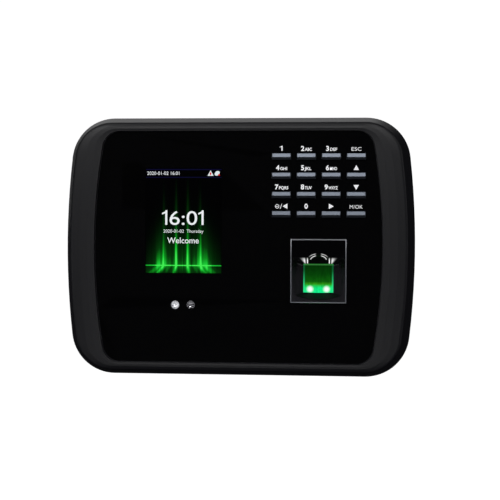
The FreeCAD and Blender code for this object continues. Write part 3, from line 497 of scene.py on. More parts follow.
class TERMINAL_OT_keypad(bpy.types.Operator):
    """Finish the key caps and print their legends on the back of the window"""
    bl_idname = "terminal.keypad"
    bl_label = "Keypad"
    # Room for a digit, between it and its letters, and for each of them.
    DIGIT, GAP, LETTER = 2.04 * MM, 0.26 * MM, 1.3 * MM
    # How far a cap's hidden flange reaches above the part that shows.
    FLANGE = 1.25 * MM

    def execute(self, context):
        keys = context.scene.terminal_keys
        # Silver lacquer over ABS: aluminium flake under clear coat, bright where it faces up.
        lacquer = surface("silver_lacquer", keys.cap, 0.3, metallic=0.85, grain_mm=0.35, depth_mm=0.006,
                          tint=0.08)
        for key in KEYS:
            finish(key, lacquer)
        # Silicone rubber, compression moulded: pale grey and matt with a soft bloom.
        finish("keypad_mat", surface("silicone_rubber", "#b9bbbd", 0.6, grain_mm=0.6, depth_mm=0.02))
        finish("keypad_board", solder_mask())
        self.legends(keys)
        return {"FINISHED"}

    def legends(self, keys):
        """Digits, letters and signs above the keys, as one printed piece."""
        # Screen-printed white ink, dead flat and even under the window; it is given a painted glow, which
        # stands in for light falling on it.
        painted_glow_ink = surface("white_ink_painted_glow", "#f2f3f5", 0.7, grain_mm=0.3, depth_mm=0.002, tint=0.02,
                      **{"Emission Color": linear("#ffffff"), "Emission Strength": 0.55})
        y, thick = PRINT_Y - 0.005 * MM, 0.03 * MM
        groups = ("", "", "ABC", "DEF", "GHI", "JKL", "MNO", "PQRS", "TUV", "WXYZ")
        meshes = []
        for digit, letters in enumerate(groups):
            key = f"key_{digit}"
            x, z = self.legend_place(key, keys)
            if digit == 1:
                meshes.append(numeral_one(keys.digit, x + 0.55 * MM, z, y, thick, 0.62 * MM))
                continue
            room = self.DIGIT + (self.GAP + self.LETTER * len(letters) if letters else 0.0)
            start = x - room / 2
            meshes.append(written(key, str(digit), keys.digit, start + self.DIGIT / 2, z, y, thick,
                                  weight=0.12 * MM))
            if letters:
                meshes.append(written(key, letters, keys.letter, start + self.DIGIT + self.GAP, z, y, thick,
                                      "LEFT", weight=0.06 * MM, width=self.LETTER * len(letters)))
        for key, text, width in (("key_esc", "ESC", 5.5 * MM), ("key_ok", "M/OK", 7.2 * MM)):
            x, z = self.legend_place(key, keys)
            meshes.append(written(key, text, 2.1 * MM, x, z, y, thick, width=width))
        bm = bmesh.new()
        size = 2.7 * MM
        for key, turn in (("key_up", 0.0), ("key_down", math.pi), ("key_right", -math.pi / 2)):
            x, z = self.legend_place(key, keys)
            triangle(bm, (x, z + size / 2 - 0.1 * MM), size, turn, y, thick)
        x, z = self.legend_place("key_left", keys)
        triangle(bm, (x + 2.2 * MM, z + size / 2 - 0.1 * MM), size, math.pi / 2, y, thick)
        ring(bm, (x - 2.3 * MM, z + 1.15 * MM), 1.15 * MM, 0.28 * MM, y, thick)
        rectangle(bm, x - 3.0 * MM, z + 1.0 * MM, x - 1.6 * MM, z + 1.3 * MM, y, y - thick)
        plate(bm, [(x - 0.75 * MM, z - 0.2 * MM), (x - 0.45 * MM, z - 0.2 * MM),
                   (x + 0.45 * MM, z + 2.6 * MM), (x + 0.15 * MM, z + 2.6 * MM)], y, y - thick)
        meshes.append(closed_mesh("signs", bm))
        new_piece("key_legends", joined("key_legends", meshes), painted_glow_ink, "terminal")

    def legend_place(self, key, keys):
        """Middle of the legend's foot."""
        return middle(key).x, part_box(key)[1].z - self.FLANGE + keys.rise


# ---- display -------------------------------------------------------------------------------------

# The beams of light in the display's picture, from its left edge to its right: place across the width,
# brightness at the horizon, and how soon that fades on the way up.
BEAMS = (
    (0.000, 0.04, 0.60), (0.090, 0.12, 0.50), (0.130, 0.26, 0.50), (0.162, 0.62, 0.55), (0.188, 0.66, 0.50),
    (0.210, 0.50, 0.45), (0.236, 1.00, 0.26), (0.262, 0.62, 0.34), (0.285, 0.30, 0.45), (0.320, 0.38, 0.45),
    (0.350, 0.22, 0.45), (0.378, 0.36, 0.30), (0.402, 1.00, 0.19), (0.426, 0.36, 0.30), (0.455, 0.22, 0.45),
    (0.480, 0.32, 0.42), (0.505, 0.22, 0.45), (0.532, 0.36, 0.30), (0.556, 1.00, 0.19), (0.580, 0.36, 0.30),
    (0.610, 0.22, 0.45), (0.640, 0.38, 0.45), (0.672, 0.30, 0.45), (0.695, 0.60, 0.34), (0.722, 1.00, 0.26),
    (0.748, 0.58, 0.42), (0.780, 0.85, 0.46), (0.815, 0.62, 0.52), (0.850, 0.30, 0.50), (0.910, 0.12, 0.50),
    (1.000, 0.04, 0.60),
)
# How high the horizon line lies above the picture's foot.
HORIZON = 4.2 * MM
# Height of the clock's digits, and the width of a one's stem.
CLOCK_H, CLOCK_STEM = 8.2 * MM, 1.15 * MM


def lit_panel(display):
    """Backlit colour panel: near black, with upright beams of light that fade out as they rise."""
    material, tree = blank("lit_panel")
    where = add(tree, "ShaderNodeTexCoord").outputs["Object"]
    parts = add(tree, "ShaderNodeSeparateXYZ", {"Vector": where})
    horizon = LIT_Z - LIT_H / 2 + HORIZON
    across = add(tree, "ShaderNodeMapRange", {
        "Value": parts.outputs["X"], "From Min": PANEL.x - LIT_W / 2, "From Max": PANEL.x + LIT_W / 2,
        "To Min": -0.5, "To Max": 0.5}, clamp=False)
    up = add(tree, "ShaderNodeMapRange", {
        "Value": parts.outputs["Z"], "From Min": horizon, "From Max": horizon + LIT_H}, clamp=False)
    # Below the horizon the beams lie on the floor and spread out towards the viewer.
    lean = add(tree, "ShaderNodeMapRange", {
        "Value": up, "From Min": -HORIZON / LIT_H, "From Max": 0.0, "To Min": 0.76, "To Max": 1.0})
    lane = add(tree, "ShaderNodeMath", {0: across, 1: lean, 2: 0.5}, operation="MULTIPLY_ADD")
    power = add(tree, "ShaderNodeValToRGB", {"Fac": lane},
                stops=[(place, bright) for place, bright, _ in BEAMS])
    # The higher this number, the sooner a beam fades out on its way up.
    hurry = add(tree, "ShaderNodeValToRGB", {"Fac": lane},
                stops=[(place, hurried) for place, _, hurried in BEAMS])
    steep = add(tree, "ShaderNodeMath", {0: hurry, 1: 14.0}, operation="MULTIPLY")
    left = add(tree, "ShaderNodeMath", {0: 1.0, 1: up}, operation="SUBTRACT", use_clamp=True)
    fade = add(tree, "ShaderNodeMath", {0: left, 1: steep}, operation="POWER")
    # Fine upright streaks, because each beam is a bundle of thin ones.
    thin = add(tree, "ShaderNodeMapping", {"Vector": where, "Scale": (1.0, 1.0, 0.02)})
    streaks = add(tree, "ShaderNodeTexNoise", {"Vector": thin, "Scale": 1 / (0.9 * MM), "Detail": 2.0})
    streaky = add(tree, "ShaderNodeMapRange", {
        "Value": streaks, "From Min": 0.3, "From Max": 0.7, "To Min": 1.35, "To Max": 2.2})
    beams = add(tree, "ShaderNodeMath", {0: power, 1: fade}, operation="MULTIPLY")
    bundled = add(tree, "ShaderNodeMath", {0: beams, 1: streaky}, operation="MULTIPLY")
    floor = add(tree, "ShaderNodeMapRange", {
        "Value": up, "From Min": -HORIZON / LIT_H, "From Max": 0.0, "To Min": 0.35, "To Max": 0.75})
    line = add(tree, "ShaderNodeMath", {0: up, 1: 0.0, 2: 0.3 * MM / LIT_H}, operation="COMPARE")
    curtain = add(tree, "ShaderNodeMath", {0: bundled, 1: floor}, operation="MULTIPLY")
    bright = add(tree, "ShaderNodeMath", {0: line, 1: 0.62, 2: curtain}, operation="MULTIPLY_ADD")
    # Nothing is lit outside the picture.
    in_width = add(tree, "ShaderNodeMath", {0: across, 1: 0.0, 2: 0.5}, operation="COMPARE")
    in_height = add(tree, "ShaderNodeMath", {0: up, 1: 0.5 - HORIZON / LIT_H, 2: 0.5}, operation="COMPARE")
    inside = add(tree, "ShaderNodeMath", {0: in_width, 1: in_height}, operation="MULTIPLY")
    shown = add(tree, "ShaderNodeMath", {0: bright, 1: inside}, operation="MULTIPLY")
    colour = add(tree, "ShaderNodeValToRGB", {"Fac": shown},
                 stops=((0.0, "#000000"), (0.25, "#053a0a"), (0.55, "#0d8c1c"), (0.9, display.beam),
                        (1.0, "#48f858")))
    shader = add(tree, "ShaderNodeBsdfPrincipled", {
        "Base Color": linear("#020203"), "Roughness": 0.4, "IOR": 1.5, "Specular IOR Level": 0.0,
        "Emission Color": colour, "Emission Strength": display.glow})
    add(tree, "ShaderNodeOutputMaterial", {"Surface": shader})
    return material


class TERMINAL_OT_display(bpy.types.Operator):
    """Finish the display: its lit panel and frame, and the writing that it shows"""
    bl_idname = "terminal.display"
    bl_label = "Display"

    def execute(self, context):
        display = context.scene.terminal_display
        finish("display_glass", lit_panel(display))
        # White polycarbonate, moulded: bright, even and half gloss.
        finish("display_backlight", surface("white_polycarbonate", "#d6d8da", 0.5, grain_mm=0.4, depth_mm=0.01))
        # Cold-rolled sheet steel, stamped: mid grey with a fine rolling grain.
        finish("display_bracket", metal("stamped_steel", "#b9bcc0"))
        self.status_bar()
        self.writing(display)
        return {"FINISHED"}

    def status_bar(self):
        """Dark blue rules above and below the picture's status line, with its two signs and their marks."""
        top, half, thick = LIT_Z + LIT_H / 2, LIT_W / 2, 0.01 * MM
        y = PANEL_Y - thick
        rules, white, red = bmesh.new(), bmesh.new(), bmesh.new()
        for low, high in ((5.2, 4.7), (0.9, 0.3)):
            rectangle(rules, PANEL.x - half, top - low * MM, PANEL.x + half, top - high * MM, y, y - thick)
        # Signs lie on the line, and their red marks on them.
        y -= 2 * thick
        x, z = PANEL.x + half - 6.2 * MM, top - 2.7 * MM
        triangle(white, (x, z), 3.1 * MM, 0.0, y, thick)
        turns = [math.tau * k / 24 for k in range(24)]
        plate(white, [(x + (3.7 + 1.45 * math.cos(t)) * MM, z + (1.25 * math.sin(t) + 0.4 * math.cos(t)) * MM)
                      for t in turns], y, y - thick)
        y -= 2 * thick
        plate(red, [(x, z + 0.9 * MM), (x - 0.55 * MM, z - 0.3 * MM), (x, z - 1.25 * MM),
                    (x + 0.55 * MM, z - 0.3 * MM)], y, y - thick)
        rectangle(red, x + 4.3 * MM, z - 1.3 * MM, x + 5.2 * MM, z - 0.4 * MM, y, y - thick)
        for name, bm, finish_name, colour in (
            ("status_bar", rules, "lit_navy", "#0b0b2c"),
            ("status_signs", white, "lit_white", "#e8f4f4"),
            ("status_marks", red, "lit_red", "#e02020"),
        ):
            new_piece(name, closed_mesh(name, bm), glowing(finish_name, colour), "terminal")

    def writing(self, display):
        """The clock, the date, the greeting and the status line."""
        y, thick, top = PANEL_Y - 0.05 * MM, 0.01 * MM, LIT_Z + LIT_H / 2
        clock_down = 31.6
        lines = [numeral_one(CLOCK_H, PANEL.x + beside * MM, top - clock_down * MM, y, thick, CLOCK_STEM)
                 for beside in (-9.2, 11.3)]
        # Each line's height, where it stands beside the panel's middle and below the picture's top, its
        # width and its weight, in millimetres.
        for words, height, beside, down, width, weight, align in (
            (display.clock.strip("1"), CLOCK_H / MM, -0.2, clock_down, 15.6, 0.0, "CENTER"),
            (display.date, 1.9, -0.1, 36.0, 22.6, 0.0, "CENTER"),
            (display.greeting, 3.4, -0.2, 41.9, 17.8, 0.03, "CENTER"),
            (display.date.split("  ")[0] + " " + display.clock, 2.0, 0.6 - LIT_W / MM / 2, 3.6, 18.2, 0.0,
             "LEFT"),
        ):
            lines.append(written("line", words, height * MM, PANEL.x + beside * MM, top - down * MM, y, thick,
                                 align, weight * MM, width * MM))
        new_piece("display_writing", joined("display_writing", lines), glowing("lit_text", "#f6fafa"),
                  "terminal")


# ---- cameras -------------------------------------------------------------------------------------

class TERMINAL_OT_cameras(bpy.types.Operator):
    """Finish the two small cameras under the display"""
    bl_idname = "terminal.cameras"
    bl_label = "Cameras"

    def execute(self, context):
        # Turned brass, bright nickel plated: a silvery ring with fine turning lines.
        finish("visible_camera", metal("turned_nickel", "#c9cdd4"))
        # Aluminium, black anodised: deep black with a hard shine.
        finish("infrared_camera", polished_abs("anodised_black", "#0c0d10"))
        finish("camera_lenses", self.coated_glass())
        finish("camera_board", solder_mask())
        return {"FINISHED"}

    def coated_glass(self):
        """The left lens is frosted and silvered behind, and a painted glow makes it look like a small pale
        disc; the right one is clear coated glass over a dark bore, with painted glints that glow in rings."""
        material, tree = blank("silvered_and_coated_glass")
        where = add(tree, "ShaderNodeTexCoord").outputs["Object"]
        parts = add(tree, "ShaderNodeSeparateXYZ", {"Vector": where})
        right = add(tree, "ShaderNodeMath", {0: parts.outputs["X"], 1: middle("camera_lenses").x},
                    operation="GREATER_THAN")
        frost = add(tree, "ShaderNodeTexNoise", {"Vector": where, "Scale": 1 / (1.3 * MM), "Detail": 2.0})
        frost_with_painted_glow = add(tree, "ShaderNodeValToRGB", {"Fac": frost},
                   stops=((0.30, "#55565c"), (0.48, "#c9cacc"), (0.7, "#f4f4f2")))
        # The frosted disc glows with its own pale colour: painted light.
        silvered = add(tree, "ShaderNodeBsdfPrincipled", {
            "Base Color": frost_with_painted_glow, "Metallic": 0.2, "Roughness": 0.3,
            "Emission Color": frost_with_painted_glow, "Emission Strength": 0.35})
        # Painted glints: rings of white glow on the dark glass, standing in for lamps shining in it.
        swirl = add(tree, "ShaderNodeTexWave", {
            "Vector": where, "Scale": 1 / (2.2 * MM), "Distortion": 6.0, "Detail": 2.0}, wave_type="RINGS")
        painted_glint = add(tree, "ShaderNodeValToRGB", {"Fac": swirl},
                    stops=((0.0, "#050507"), (0.62, "#0c0c10"), (0.8, "#8c8d92"), (1.0, "#c8c8cc")))
        coated = add(tree, "ShaderNodeBsdfPrincipled", {
            "Base Color": linear("#08080c"), "Metallic": 0.0, "Roughness": 0.06, "IOR": 1.9,
            "Emission Color": painted_glint, "Emission Strength": 0.6})
        shader = add(tree, "ShaderNodeMixShader", {0: right, 1: silvered, 2: coated})
        add(tree, "ShaderNodeOutputMaterial", {"Surface": shader})
        return material


# ---- fingerprint reader --------------------------------------------------------------------------

def lit_prism(reader):
    """Coated optical glass lit from below by two green lamps: bright at its foot and sides, dark at the top,
    and hardly any shine of its own."""
    material, tree = blank("lit_prism")
    low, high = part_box("reader_prism")
    where = add(tree, "ShaderNodeTexCoord").outputs["Object"]
    parts = add(tree, "ShaderNodeSeparateXYZ", {"Vector": where})
    across = add(tree, "ShaderNodeMapRange", {
        "Value": parts.outputs["X"], "From Min": low.x, "From Max": high.x, "To Min": -1.0, "To Max": 1.0},
        clamp=False)
    up = add(tree, "ShaderNodeMapRange", {
        "Value": parts.outputs["Z"], "From Min": high.z - PRISM_FACE, "From Max": high.z}, clamp=False)
    rise = add(tree, "ShaderNodeValToRGB", {"Fac": up},
               stops=((0.0, "#18ff98"), (0.15, reader.light), (0.24, "#28d048"), (0.28, "#34a01a"),
                      (0.37, "#10600c"), (0.62, "#074408"), (0.94, "#053206"), (0.96, "#3d8a40"),
                      (1.0, "#1a5a20")))
    # A finger's grease leaves the face cloudy in fine upright strokes.
    strokes = add(tree, "ShaderNodeMapping", {"Vector": where, "Scale": (1.0, 1.0, 0.25)})
    smear = add(tree, "ShaderNodeTexNoise", {"Vector": strokes, "Scale": 1 / (1.1 * MM), "Detail": 4.0})
    cloudy = add(tree, "ShaderNodeMapRange", {"Value": smear, "To Min": 0.45, "To Max": 1.25})
    face = add(tree, "ShaderNodeMix", {0: 1.0, 6: rise, 7: cloudy}, data_type="RGBA", blend_type="MULTIPLY")
    side = add(tree, "ShaderNodeMath", {0: across}, operation="ABSOLUTE")
    rim = add(tree, "ShaderNodeMapRange", {"Value": side, "From Min": 0.88, "From Max": 0.96})
    rim_fade = add(tree, "ShaderNodeMapRange", {
        "Value": up, "From Min": 0.25, "From Max": 0.75, "To Min": 0.9, "To Max": 0.12})
    edges = add(tree, "ShaderNodeMath", {0: rim, 1: rim_fade}, operation="MULTIPLY")
    rimmed = add(tree, "ShaderNodeMix", {0: edges, 6: face.outputs[2], 7: linear("#2fe08a")}, data_type="RGBA")
    # Each lamp shows as a white spot, near the foot and left and right of the middle.
    spot_x = add(tree, "ShaderNodeMath", {0: side, 1: 0.55}, operation="SUBTRACT")
    spot_z = add(tree, "ShaderNodeMath", {0: up, 1: 0.11}, operation="SUBTRACT")
    spot = add(tree, "ShaderNodeCombineXYZ", {"X": spot_x, "Y": spot_z})
    reach = add(tree, "ShaderNodeVectorMath", {0: spot, 1: (1.0, 1.9, 0.0)}, operation="MULTIPLY")
    away = add(tree, "ShaderNodeVectorMath", {0: reach}, operation="LENGTH")
    white = add(tree, "ShaderNodeMapRange", {
        "Value": away.outputs["Value"], "From Min": 0.06, "From Max": 0.30, "To Min": 1.0, "To Max": 0.0},
        interpolation_type="SMOOTHSTEP")
    glow = add(tree, "ShaderNodeMix", {0: white, 6: rimmed.outputs[2], 7: linear("#ffffff")}, data_type="RGBA")
    shader = add(tree, "ShaderNodeBsdfPrincipled", {
        "Base Color": linear("#020a05"), "Roughness": 0.3, "IOR": 1.52, "Specular IOR Level": 0.0,
        "Emission Color": glow.outputs[2], "Emission Strength": reader.glow})
    add(tree, "ShaderNodeOutputMaterial", {"Surface": shader})
    return material


def smooth_max(a, b, blend):
    """The larger of two numbers, rounded off where they meet."""
    return (a + b + math.sqrt((a - b) ** 2 + blend ** 2)) / 2


def smooth_min(a, b, blend):
    """The smaller of two numbers, rounded off where they meet."""
    return -smooth_max(-a, -b, blend)


def hollow_depth(x, z, reader):
    """How deep the finger's hollow lies behind the rim, at a place told from the surround's middle; all
    lengths are in millimetres."""
    prism_side, wall_x, end_z, foot_z, dome_z = 8.35, 14.3, 7.0, -15.9, -1.1
    slant, lip_r = math.radians(13.7), 37.7
    r, dome_r = reader.trough, reader.dome
    # The trough is part of a slanting cylinder; a slope ends it above, a curved lip below and walls beside.
    edge = 5.6 + (z + 4.0) * math.tan(slant)
    trough = edge + math.sqrt(max(0.0, r * r - x * x)) - math.sqrt(r * r - prism_side * prism_side)
    end = (end_z - z) * 1.9
    lip = (lip_r - math.hypot(x, z - foot_z - lip_r)) * 1.7
    walls = (wall_x - abs(x)) * 2.2
    trough = smooth_min(smooth_min(trough, end, 1.6), smooth_min(lip, walls, 0.8), 0.6)
    # The fingertip's dome is part of a ball above the prism, and runs out below its middle.
    up = max(z - dome_z, 0.0)
    inside = dome_r ** 2 - x * x - up ** 2
    dome = (math.sqrt(inside) if inside > 0 else dome_r - math.hypot(x, up)) - 0.9
    if z < dome_z:
        dome += (z - dome_z) * 1.5
    return smooth_max(smooth_max(trough, dome, 1.4), 0.0, 0.35)


class TERMINAL_OT_reader(bpy.types.Operator):
    """Finish the fingerprint reader: its surround, lit prism and the parts behind it"""
    bl_idname = "terminal.reader"
    bl_label = "Fingerprint reader"

    def execute(self, context):
        reader = context.scene.terminal_reader
        finish("reader_prism", lit_prism(reader))
        # Glass-filled nylon, moulded: dull black, a little rough from the fibres.
        finish("reader_holder", surface("glass_filled_nylon", "#121214", 0.6, grain_mm=0.5, depth_mm=0.03))
        # Glass-filled too, but polished: black and glossy.
        finish("reader_lens", polished_abs("lens_barrel", "#0a0a0c"))
        finish("reader_board", solder_mask())
        # Green lamps behind the prism, lit.
        finish("reader_lights", glowing("green_lamps", "#30ff70", 2.0))
        self.surround(reader)
        return {"FINISHED"}

    def surround(self, reader):
        """Surround with a finger's hollow: all its edges are rounded, which the CAD solid can't show."""
        low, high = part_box("reader_bezel")
        centre_x, centre_z = (low.x + high.x) / 2, RIM_Z
        half_w, half_h, edge = RIM_W / 2, RIM_H / 2, 0.45 * MM
        columns, rows, wall = 150, 172, 1.6 * MM
        prism_low, prism_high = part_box("reader_prism")
        gap = 0.15 * MM

        def taken(x, z):
            """Whether the prism fills this place."""
            return (prism_low.x - gap < x < prism_high.x + gap
                    and prism_high.z - PRISM_FACE - gap < z < prism_high.z + gap)

        bm = bmesh.new()
        front_grid, back_grid = [], []
        for row in range(rows + 1):
            z = -half_h + 2 * half_h * row / rows
            front_line, back_line = [], []
            for column in range(columns + 1):
                x = -half_w + 2 * half_w * column / columns
                depth = hollow_depth(x / MM, z / MM, reader) * MM
                near = min(half_w - abs(x), half_h - abs(z))
                if near < edge:
                    depth += edge - math.sqrt(max(0.0, edge ** 2 - (edge - near) ** 2))
                front_line.append(bm.verts.new((centre_x + x, low.y + depth, centre_z + z)))
                back_line.append(bm.verts.new((centre_x + x, low.y + depth + wall, centre_z + z)))
            front_grid.append(front_line)
            back_grid.append(back_line)
        kept = [[not taken(centre_x - half_w + 2 * half_w * (column + 0.5) / columns,
                           centre_z - half_h + 2 * half_h * (row + 0.5) / rows)
                 for column in range(columns)] for row in range(rows)]
        for row in range(rows):
            for column in range(columns):
                if not kept[row][column]:
                    continue
                for grid in (front_grid, back_grid):
                    face = bm.faces.new((grid[row][column], grid[row][column + 1],
                                         grid[row + 1][column + 1], grid[row + 1][column]))
                    face.smooth = True
                # A wall wherever the sheet ends: round its border and round the prism.
                for other, ends in (
                    ((row - 1, column), ((0, 0), (0, 1))), ((row + 1, column), ((1, 0), (1, 1))),
                    ((row, column - 1), ((0, 0), (1, 0))), ((row, column + 1), ((0, 1), (1, 1))),
                ):
                    outside = not (0 <= other[0] < rows and 0 <= other[1] < columns)
                    if outside or not kept[other[0]][other[1]]:
                        first, last = ((row + dr, column + dc) for dr, dc in ends)
                        bm.faces.new((front_grid[first[0]][first[1]], front_grid[last[0]][last[1]],
                                      back_grid[last[0]][last[1]], back_grid[first[0]][first[1]]))
        loose = [vert for vert in bm.verts if not vert.link_faces]
        bmesh.ops.delete(bm, geom=loose, context="VERTS")
        mesh = closed_mesh("reader_surround", bm)
        piece = new_piece("reader_surround", mesh, self.surround_finish(), "terminal")
        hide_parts("reader_bezel")

    def surround_finish(self):
        """Moulded ABS: polished black above, satin and finely streaked down in the finger's hollow, and a pale
        line round its rounded edge, which is a painted highlight, paler towards the top."""
        material, tree = blank("polished_and_satin_abs")
        where = add(tree, "ShaderNodeTexCoord").outputs["Object"]
        parts = add(tree, "ShaderNodeSeparateXYZ", {"Vector": where})
        polished = add(tree, "ShaderNodeMapRange", {
            "Value": parts.outputs["Z"], "From Min": RIM_Z - 3.0 * MM, "From Max": RIM_Z + 5.0 * MM})
        streak = add(tree, "ShaderNodeMapping", {"Vector": where, "Scale": (1.0, 1.0, 0.06)})
        streaks = add(tree, "ShaderNodeTexNoise", {"Vector": streak, "Scale": 1 / (0.5 * MM), "Detail": 3.0})
        rough = add(tree, "ShaderNodeMapRange", {"Value": polished, "To Min": 0.42, "To Max": 0.2})
        uneven = add(tree, "ShaderNodeMapRange", {"Value": streaks, "To Min": -0.06, "To Max": 0.06})
        roughness = add(tree, "ShaderNodeMath", {0: rough, 1: uneven}, operation="ADD")
        flank = add(tree, "ShaderNodeMix", {0: streaks, 6: linear("#0c0c0e"), 7: linear("#18181b")},
                    data_type="RGBA")
        colour = add(tree, "ShaderNodeMix", {0: polished, 6: flank.outputs[2], 7: linear("#030304")},
                     data_type="RGBA")
        # The edge line, a painted highlight: how near a place is to the rim's sides or ends.
        from_middle = add(tree, "ShaderNodeVectorMath", {
            0: where, 1: (middle("reader_bezel").x, 0.0, RIM_Z)}, operation="SUBTRACT")
        folded = add(tree, "ShaderNodeVectorMath", {0: from_middle}, operation="ABSOLUTE")
        shares = add(tree, "ShaderNodeVectorMath", {0: folded, 1: (1.0, 0.0, 1.0)}, operation="MULTIPLY")
        past = add(tree, "ShaderNodeVectorMath", {
            0: shares, 1: (RIM_W / 2 - RIM_HIGHLIGHT_W, 0.0, RIM_H / 2 - RIM_HIGHLIGHT_W)}, operation="SUBTRACT")
        sides = add(tree, "ShaderNodeSeparateXYZ", {"Vector": past})
        nearer = add(tree, "ShaderNodeMath", {0: sides.outputs["X"], 1: sides.outputs["Z"]},
                     operation="MAXIMUM")
        line = add(tree, "ShaderNodeMapRange", {
            "Value": nearer, "From Min": -0.1 * MM, "From Max": 0.1 * MM})
        up = add(tree, "ShaderNodeMapRange", {
            "Value": parts.outputs["Z"], "From Min": RIM_Z - RIM_H / 2, "From Max": RIM_Z + RIM_H / 2})
        # The edge line's painted highlight is paler towards the top.
        edge_highlight_colour = add(tree, "ShaderNodeValToRGB", {"Fac": up},
                          stops=((0.0, "#5c5e63"), (0.05, "#55575c"), (0.7, "#6a6c72"), (0.97, "#a0a2a8")))
        with_edge_highlight = add(tree, "ShaderNodeMix", {0: line, 6: colour.outputs[2], 7: edge_highlight_colour}, data_type="RGBA")
        bump = add(tree, "ShaderNodeBump", {"Height": streaks, "Distance": 0.01 * MM, "Strength": 1.0})
        # Painted glints: white glow on the fans and arcs beside and above the prism.
        glints = self.glints(tree, where)
        shader = add(tree, "ShaderNodeBsdfPrincipled", {
            "Base Color": with_edge_highlight.outputs[2], "Roughness": roughness, "Normal": bump, "IOR": 1.45,
            "Specular IOR Level": 0.07, "Emission Color": glints, "Emission Strength": 1.0})
        add(tree, "ShaderNodeOutputMaterial", {"Surface": shader})
        return material

    def glints(self, tree, where):
        """Painted glints that glow white: a fan at each of the prism's top corners, and broken arcs on the edge
        of the hollow above it."""
        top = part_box("reader_prism")[1].z
        from_top = add(tree, "ShaderNodeVectorMath", {
            0: where, 1: (middle("reader_prism").x, 0.0, top)}, operation="SUBTRACT")
        parts = add(tree, "ShaderNodeSeparateXYZ", {"Vector": from_top})
        side = add(tree, "ShaderNodeMath", {0: parts.outputs["X"]}, operation="ABSOLUTE")
        height = parts.outputs["Z"]
        # Fans: each spreads outwards from a corner, and so is told by its slope there.
        out = add(tree, "ShaderNodeMath", {0: side, 1: 7.2 * MM}, operation="SUBTRACT")
        above = add(tree, "ShaderNodeMath", {0: height, 1: 0.6 * MM}, operation="ADD")
        slope = add(tree, "ShaderNodeMath", {0: out, 1: above}, operation="DIVIDE")
        spread = add(tree, "ShaderNodeValToRGB", {"Fac": slope},
                     stops=((0.0, 0.0), (0.08, 1.0), (0.34, 0.75), (0.56, 0.3), (0.85, 0.0)))
        strip = add(tree, "ShaderNodeMath", {0: side, 1: 6.1 * MM, 2: 0.3 * MM}, operation="COMPARE")
        fan = add(tree, "ShaderNodeMath", {0: spread, 1: strip}, operation="MAXIMUM")
        climb = add(tree, "ShaderNodeMapRange", {"Value": height, "From Min": 0.0, "From Max": 4.0 * MM})
        reach = add(tree, "ShaderNodeValToRGB", {"Fac": climb},
                    stops=((0.0, 0.0), (0.08, 0.8), (0.45, 1.0), (0.72, 0.6), (0.92, 0.0)))
        fans = add(tree, "ShaderNodeMath", {0: fan, 1: reach}, operation="MULTIPLY")
        # Arcs: two rings of one oval, broken off in the middle and at the ends.
        oval = add(tree, "ShaderNodeVectorMath", {0: from_top, 1: (0.0, 0.0, 1.9 * MM)}, operation="SUBTRACT")
        round_oval = add(tree, "ShaderNodeVectorMath", {
            0: oval, 1: (1 / (6.26 * MM), 0.0, 1 / (3.9 * MM))}, operation="MULTIPLY")
        outwards = add(tree, "ShaderNodeVectorMath", {0: round_oval}, operation="LENGTH")
        ring_place = add(tree, "ShaderNodeMapRange", {
            "Value": outwards.outputs["Value"], "From Min": 0.5, "From Max": 1.1})
        rings = add(tree, "ShaderNodeValToRGB", {"Fac": ring_place},
                    stops=((0.25, 0.0), (0.34, 1.0), (0.40, 1.0), (0.48, 0.0), (0.72, 0.0), (0.79, 0.8),
                           (0.84, 0.8), (0.91, 0.0)))
        aside = add(tree, "ShaderNodeMapRange", {"Value": side, "From Min": 0.0, "From Max": 6.0 * MM})
        broken = add(tree, "ShaderNodeValToRGB", {"Fac": aside},
                     stops=((0.2, 0.0), (0.32, 1.0), (0.66, 0.7), (0.9, 0.0)))
        upper = add(tree, "ShaderNodeMath", {0: height, 1: 2.4 * MM}, operation="GREATER_THAN")
        pieces = add(tree, "ShaderNodeMath", {0: rings, 1: broken}, operation="MULTIPLY")
        arcs = add(tree, "ShaderNodeMath", {0: pieces, 1: upper}, operation="MULTIPLY")
        return add(tree, "ShaderNodeMath", {0: fans, 1: arcs}, operation="MAXIMUM")


# ---- electronics ---------------------------------------------------------------------------------

